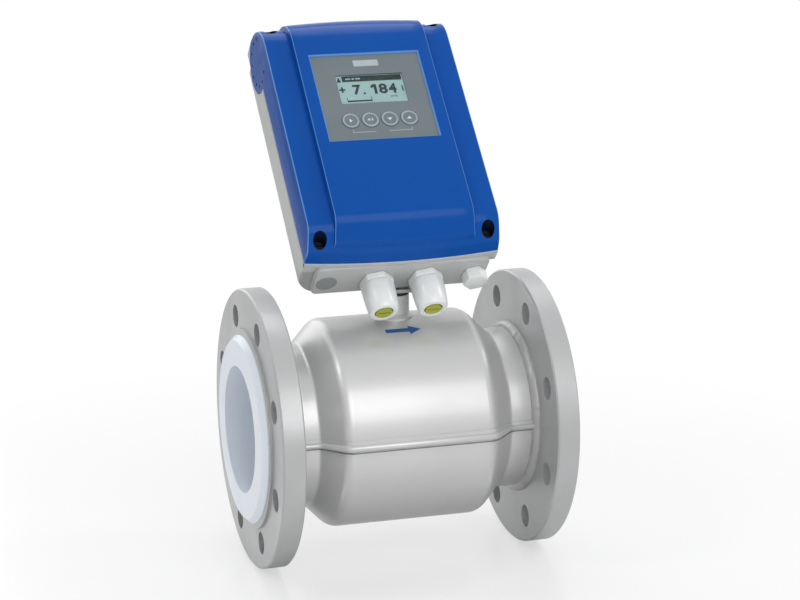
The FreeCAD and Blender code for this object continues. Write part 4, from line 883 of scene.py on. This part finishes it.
def makeLip(values):
    work = bmesh.new()
    path = bowPath(values)
    path += [(path[-1][0], values["lipTop"]), (path[0][0], values["lipTop"])]
    work.faces.new([work.verts.new((x, -values["lipFront"], z)) for x, z in path])
    extrudeFaces(work, work.faces[:], (0, values["lipFront"] - values["lipBack"], 0))
    low = [edge for edge in work.edges if all(vertex.co.z < values["lipTop"] - near for vertex in edge.verts)
           and abs(edge.verts[0].co.y - edge.verts[1].co.y) < near]
    bmesh.ops.bevel(work, geom=low, offset=values["lipEdge"], segments=2, profile=0.5, affect="EDGES",
                    material=-1, clamp_overlap=True)
    lip = finishPiece(work, "baseLip", "castGrey", place=toHousing)
    softenEdges(lip, values["softAngle"])


def makeRimLine(values):
    # a painted highlight: a thin pale strip along the base's edge at the parting
    work = bmesh.new()
    path = bowPath(values)
    spots = [(path[0][0], values["lineTop"]), *path, (path[-1][0], values["lineTop"])]
    line = [work.verts.new((x, -values["lineBack"], z)) for x, z in spots]
    grown = bmesh.ops.extrude_edge_only(work, edges=joinLine(work, line))
    moved = [item for item in grown["geom"] if isinstance(item, bmesh.types.BMVert)]
    bmesh.ops.translate(work, verts=moved, vec=(0, values["lineBack"] - cover["back"], 0))
    bmesh.ops.recalc_face_normals(work, faces=work.faces)
    bmesh.ops.solidify(work, geom=work.faces[:], thickness=values["lineWall"])
    finishPiece(work, "rimLine", "paintedRimHighlight", place=toHousing)


def makeBlank(values):
    # the flat closed entry at the left, a darker disc as painted shade of its recess
    work = bmesh.new()
    peg(work, values["blankRadius"], values["low"] - values["blankRise"], values["low"] + values["blankSunk"],
        Matrix.Translation((values["blank"], -values["blankDepth"], 0)))
    finishPiece(work, "blankEntry", "paintedRecessShade", place=toHousing)


makeFoot(foot)
makeLip(foot)
makeRimLine(foot)
makeBlank(foot)
print("entry box, lip, rim line and closed entry made")

gland = {
    "depth": 20.0, "spots": [-17.5, 22.5], "top": -3.8, "turned": 14.0,
    "flats": 24.0, "hex": 5.5, "bevel": 0.9, "hexSoft": 30.0,
    "cap": [(0.0, -20.0), (7.0, -20.0), (7.1, -33.9), (7.7, -34.6), (9.6, -34.8), (11.0, -34.3),
            (11.9, -32.6), (12.5, -28.0), (13.0, -21.0), (13.3, -12.0), (13.0, -10.2), (11.4, -9.3),
            (0.0, -9.3)],  # radius and height
    "capFlats": 12.35, "flatEnd": -22.0, "flatFade": 3.0, "steps": 72, "merge": 0.001, "capSoft": 40.0,
    "plug": 62.5, "plugFlats": 17.8, "plugLength": 9.6, "plugEdge": 0.7,
}


def makeHexagon(name, node, x, flats, length, bevel, values):
    work = bmesh.new()
    ring = bmesh.ops.create_circle(work, cap_ends=True, radius=flats / math.sqrt(3), segments=6)
    bmesh.ops.rotate(work, verts=ring["verts"],
                     matrix=Matrix.Rotation(math.radians(values["turned"]), 3, "Z"))
    extrudeFaces(work, work.faces[:], (0, 0, -length))
    bmesh.ops.translate(work, verts=work.verts, vec=(x, -values["depth"], values["top"]))
    bmesh.ops.bevel(work, geom=work.edges[:], offset=bevel, segments=3, profile=0.5, affect="EDGES",
                    material=-1)
    piece = finishPiece(work, name, "glandWhite", place=toHousing)
    softenEdges(piece, values["hexSoft"])
    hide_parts(node)


def makeGlandCap(name, node, x, values):
    # a turned cap with six soft flats where the spanner fits
    work = bmesh.new()
    chain = [work.verts.new((radius, 0, z)) for radius, z in values["cap"]]
    bmesh.ops.spin(work, geom=chain + joinLine(work, chain), axis=(0, 0, 1), angle=2 * math.pi,
                   steps=values["steps"], use_merge=True)
    bmesh.ops.remove_doubles(work, verts=work.verts, dist=values["merge"])
    sixth = math.pi / 3
    for vertex in work.verts:
        reach = math.hypot(vertex.co.x, vertex.co.y)
        if reach > values["capFlats"]:
            turn = math.atan2(vertex.co.y, vertex.co.x) + math.radians(values["turned"])
            flat = min(reach, values["capFlats"] / math.cos(turn % sixth - sixth / 2))
            fade = max(0.0, min(1.0, (vertex.co.z - values["flatEnd"]) / values["flatFade"]))
            vertex.co.xy *= 1 + (flat / reach - 1) * fade
    bmesh.ops.translate(work, verts=work.verts, vec=(x, -values["depth"], 0))
    piece = finishPiece(work, name, "glandWhite", body=node, place=toHousing)
    softenEdges(piece, values["capSoft"])
    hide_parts(node)


for number, spot in enumerate(gland["spots"], 1):
    makeHexagon(f"glandHex_{number}", f"gland_body_{number}", spot, gland["flats"], gland["hex"],
                gland["bevel"], gland)
    makeGlandCap(f"glandCap_{number}", f"gland_nut_{number}", spot, gland)
makeHexagon("entryPlug", "blanking_plug", gland["plug"], gland["plugFlats"], gland["plugLength"],
            gland["plugEdge"], gland)
print("glands and plug made")

seam = {
    "angle": 4.4, "proud": 3.2, "lift": 0.1, "sunk": 1.5, "arc": 8, "softAngle": 40.0,
    "shade": {"angle": 1.0, "proud": 1.75, "below": 2.5},  # painted shadow: a dark strip under the lap
    "half": [(57.5, shell["drum"]), (62.0, 80.0), (76.0, 65.4), (79.5, shell["neck"]),
             (97.5, shell["neck"])],  # x and radius, from the drum to the outlet neck
}


def pushOut(vertex, amount):
    reach = math.hypot(vertex.co.y, vertex.co.z)
    vertex.co.yz *= 1 + amount / reach


def makeSeam(name, finish, front, values, angle, proud, below=0.0):
    # a rounded strip along the shells, across the given angle
    work = bmesh.new()
    line = [work.verts.new((-x, 0, radius)) for x, radius in reversed(values["half"])]
    line += [work.verts.new((x, 0, radius)) for x, radius in values["half"]]
    bmesh.ops.spin(work, geom=line + joinLine(work, line), axis=(1, 0, 0), angle=math.radians(angle),
                   steps=values["arc"])
    for vertex in work.verts:
        share = abs(math.degrees(math.atan2(vertex.co.y, vertex.co.z))) / angle
        pushOut(vertex, values["lift"] + proud * math.sqrt(max(0.0, math.sin(math.pi * share))))
    for vertex in extrudeFaces(work, work.faces[:], (0, 0, 0)):
        pushOut(vertex, -values["sunk"])
    bmesh.ops.rotate(work, verts=work.verts,
                     matrix=Matrix.Rotation(math.radians(front * (90 + below) - angle / 2), 3, "X"))
    softenEdges(finishPiece(work, name, finish), values["softAngle"])


for side, front in (("Front", 1), ("Rear", -1)):
    makeSeam(f"seam{side}", "silverPaint", front, seam, seam["angle"], seam["proud"])
    # a dark strip below each lap, as painted shadow
    makeSeam(f"underLapShadow{side}", "paintedSeamShadow", front, seam, **seam["shade"])
print("shell seam made")
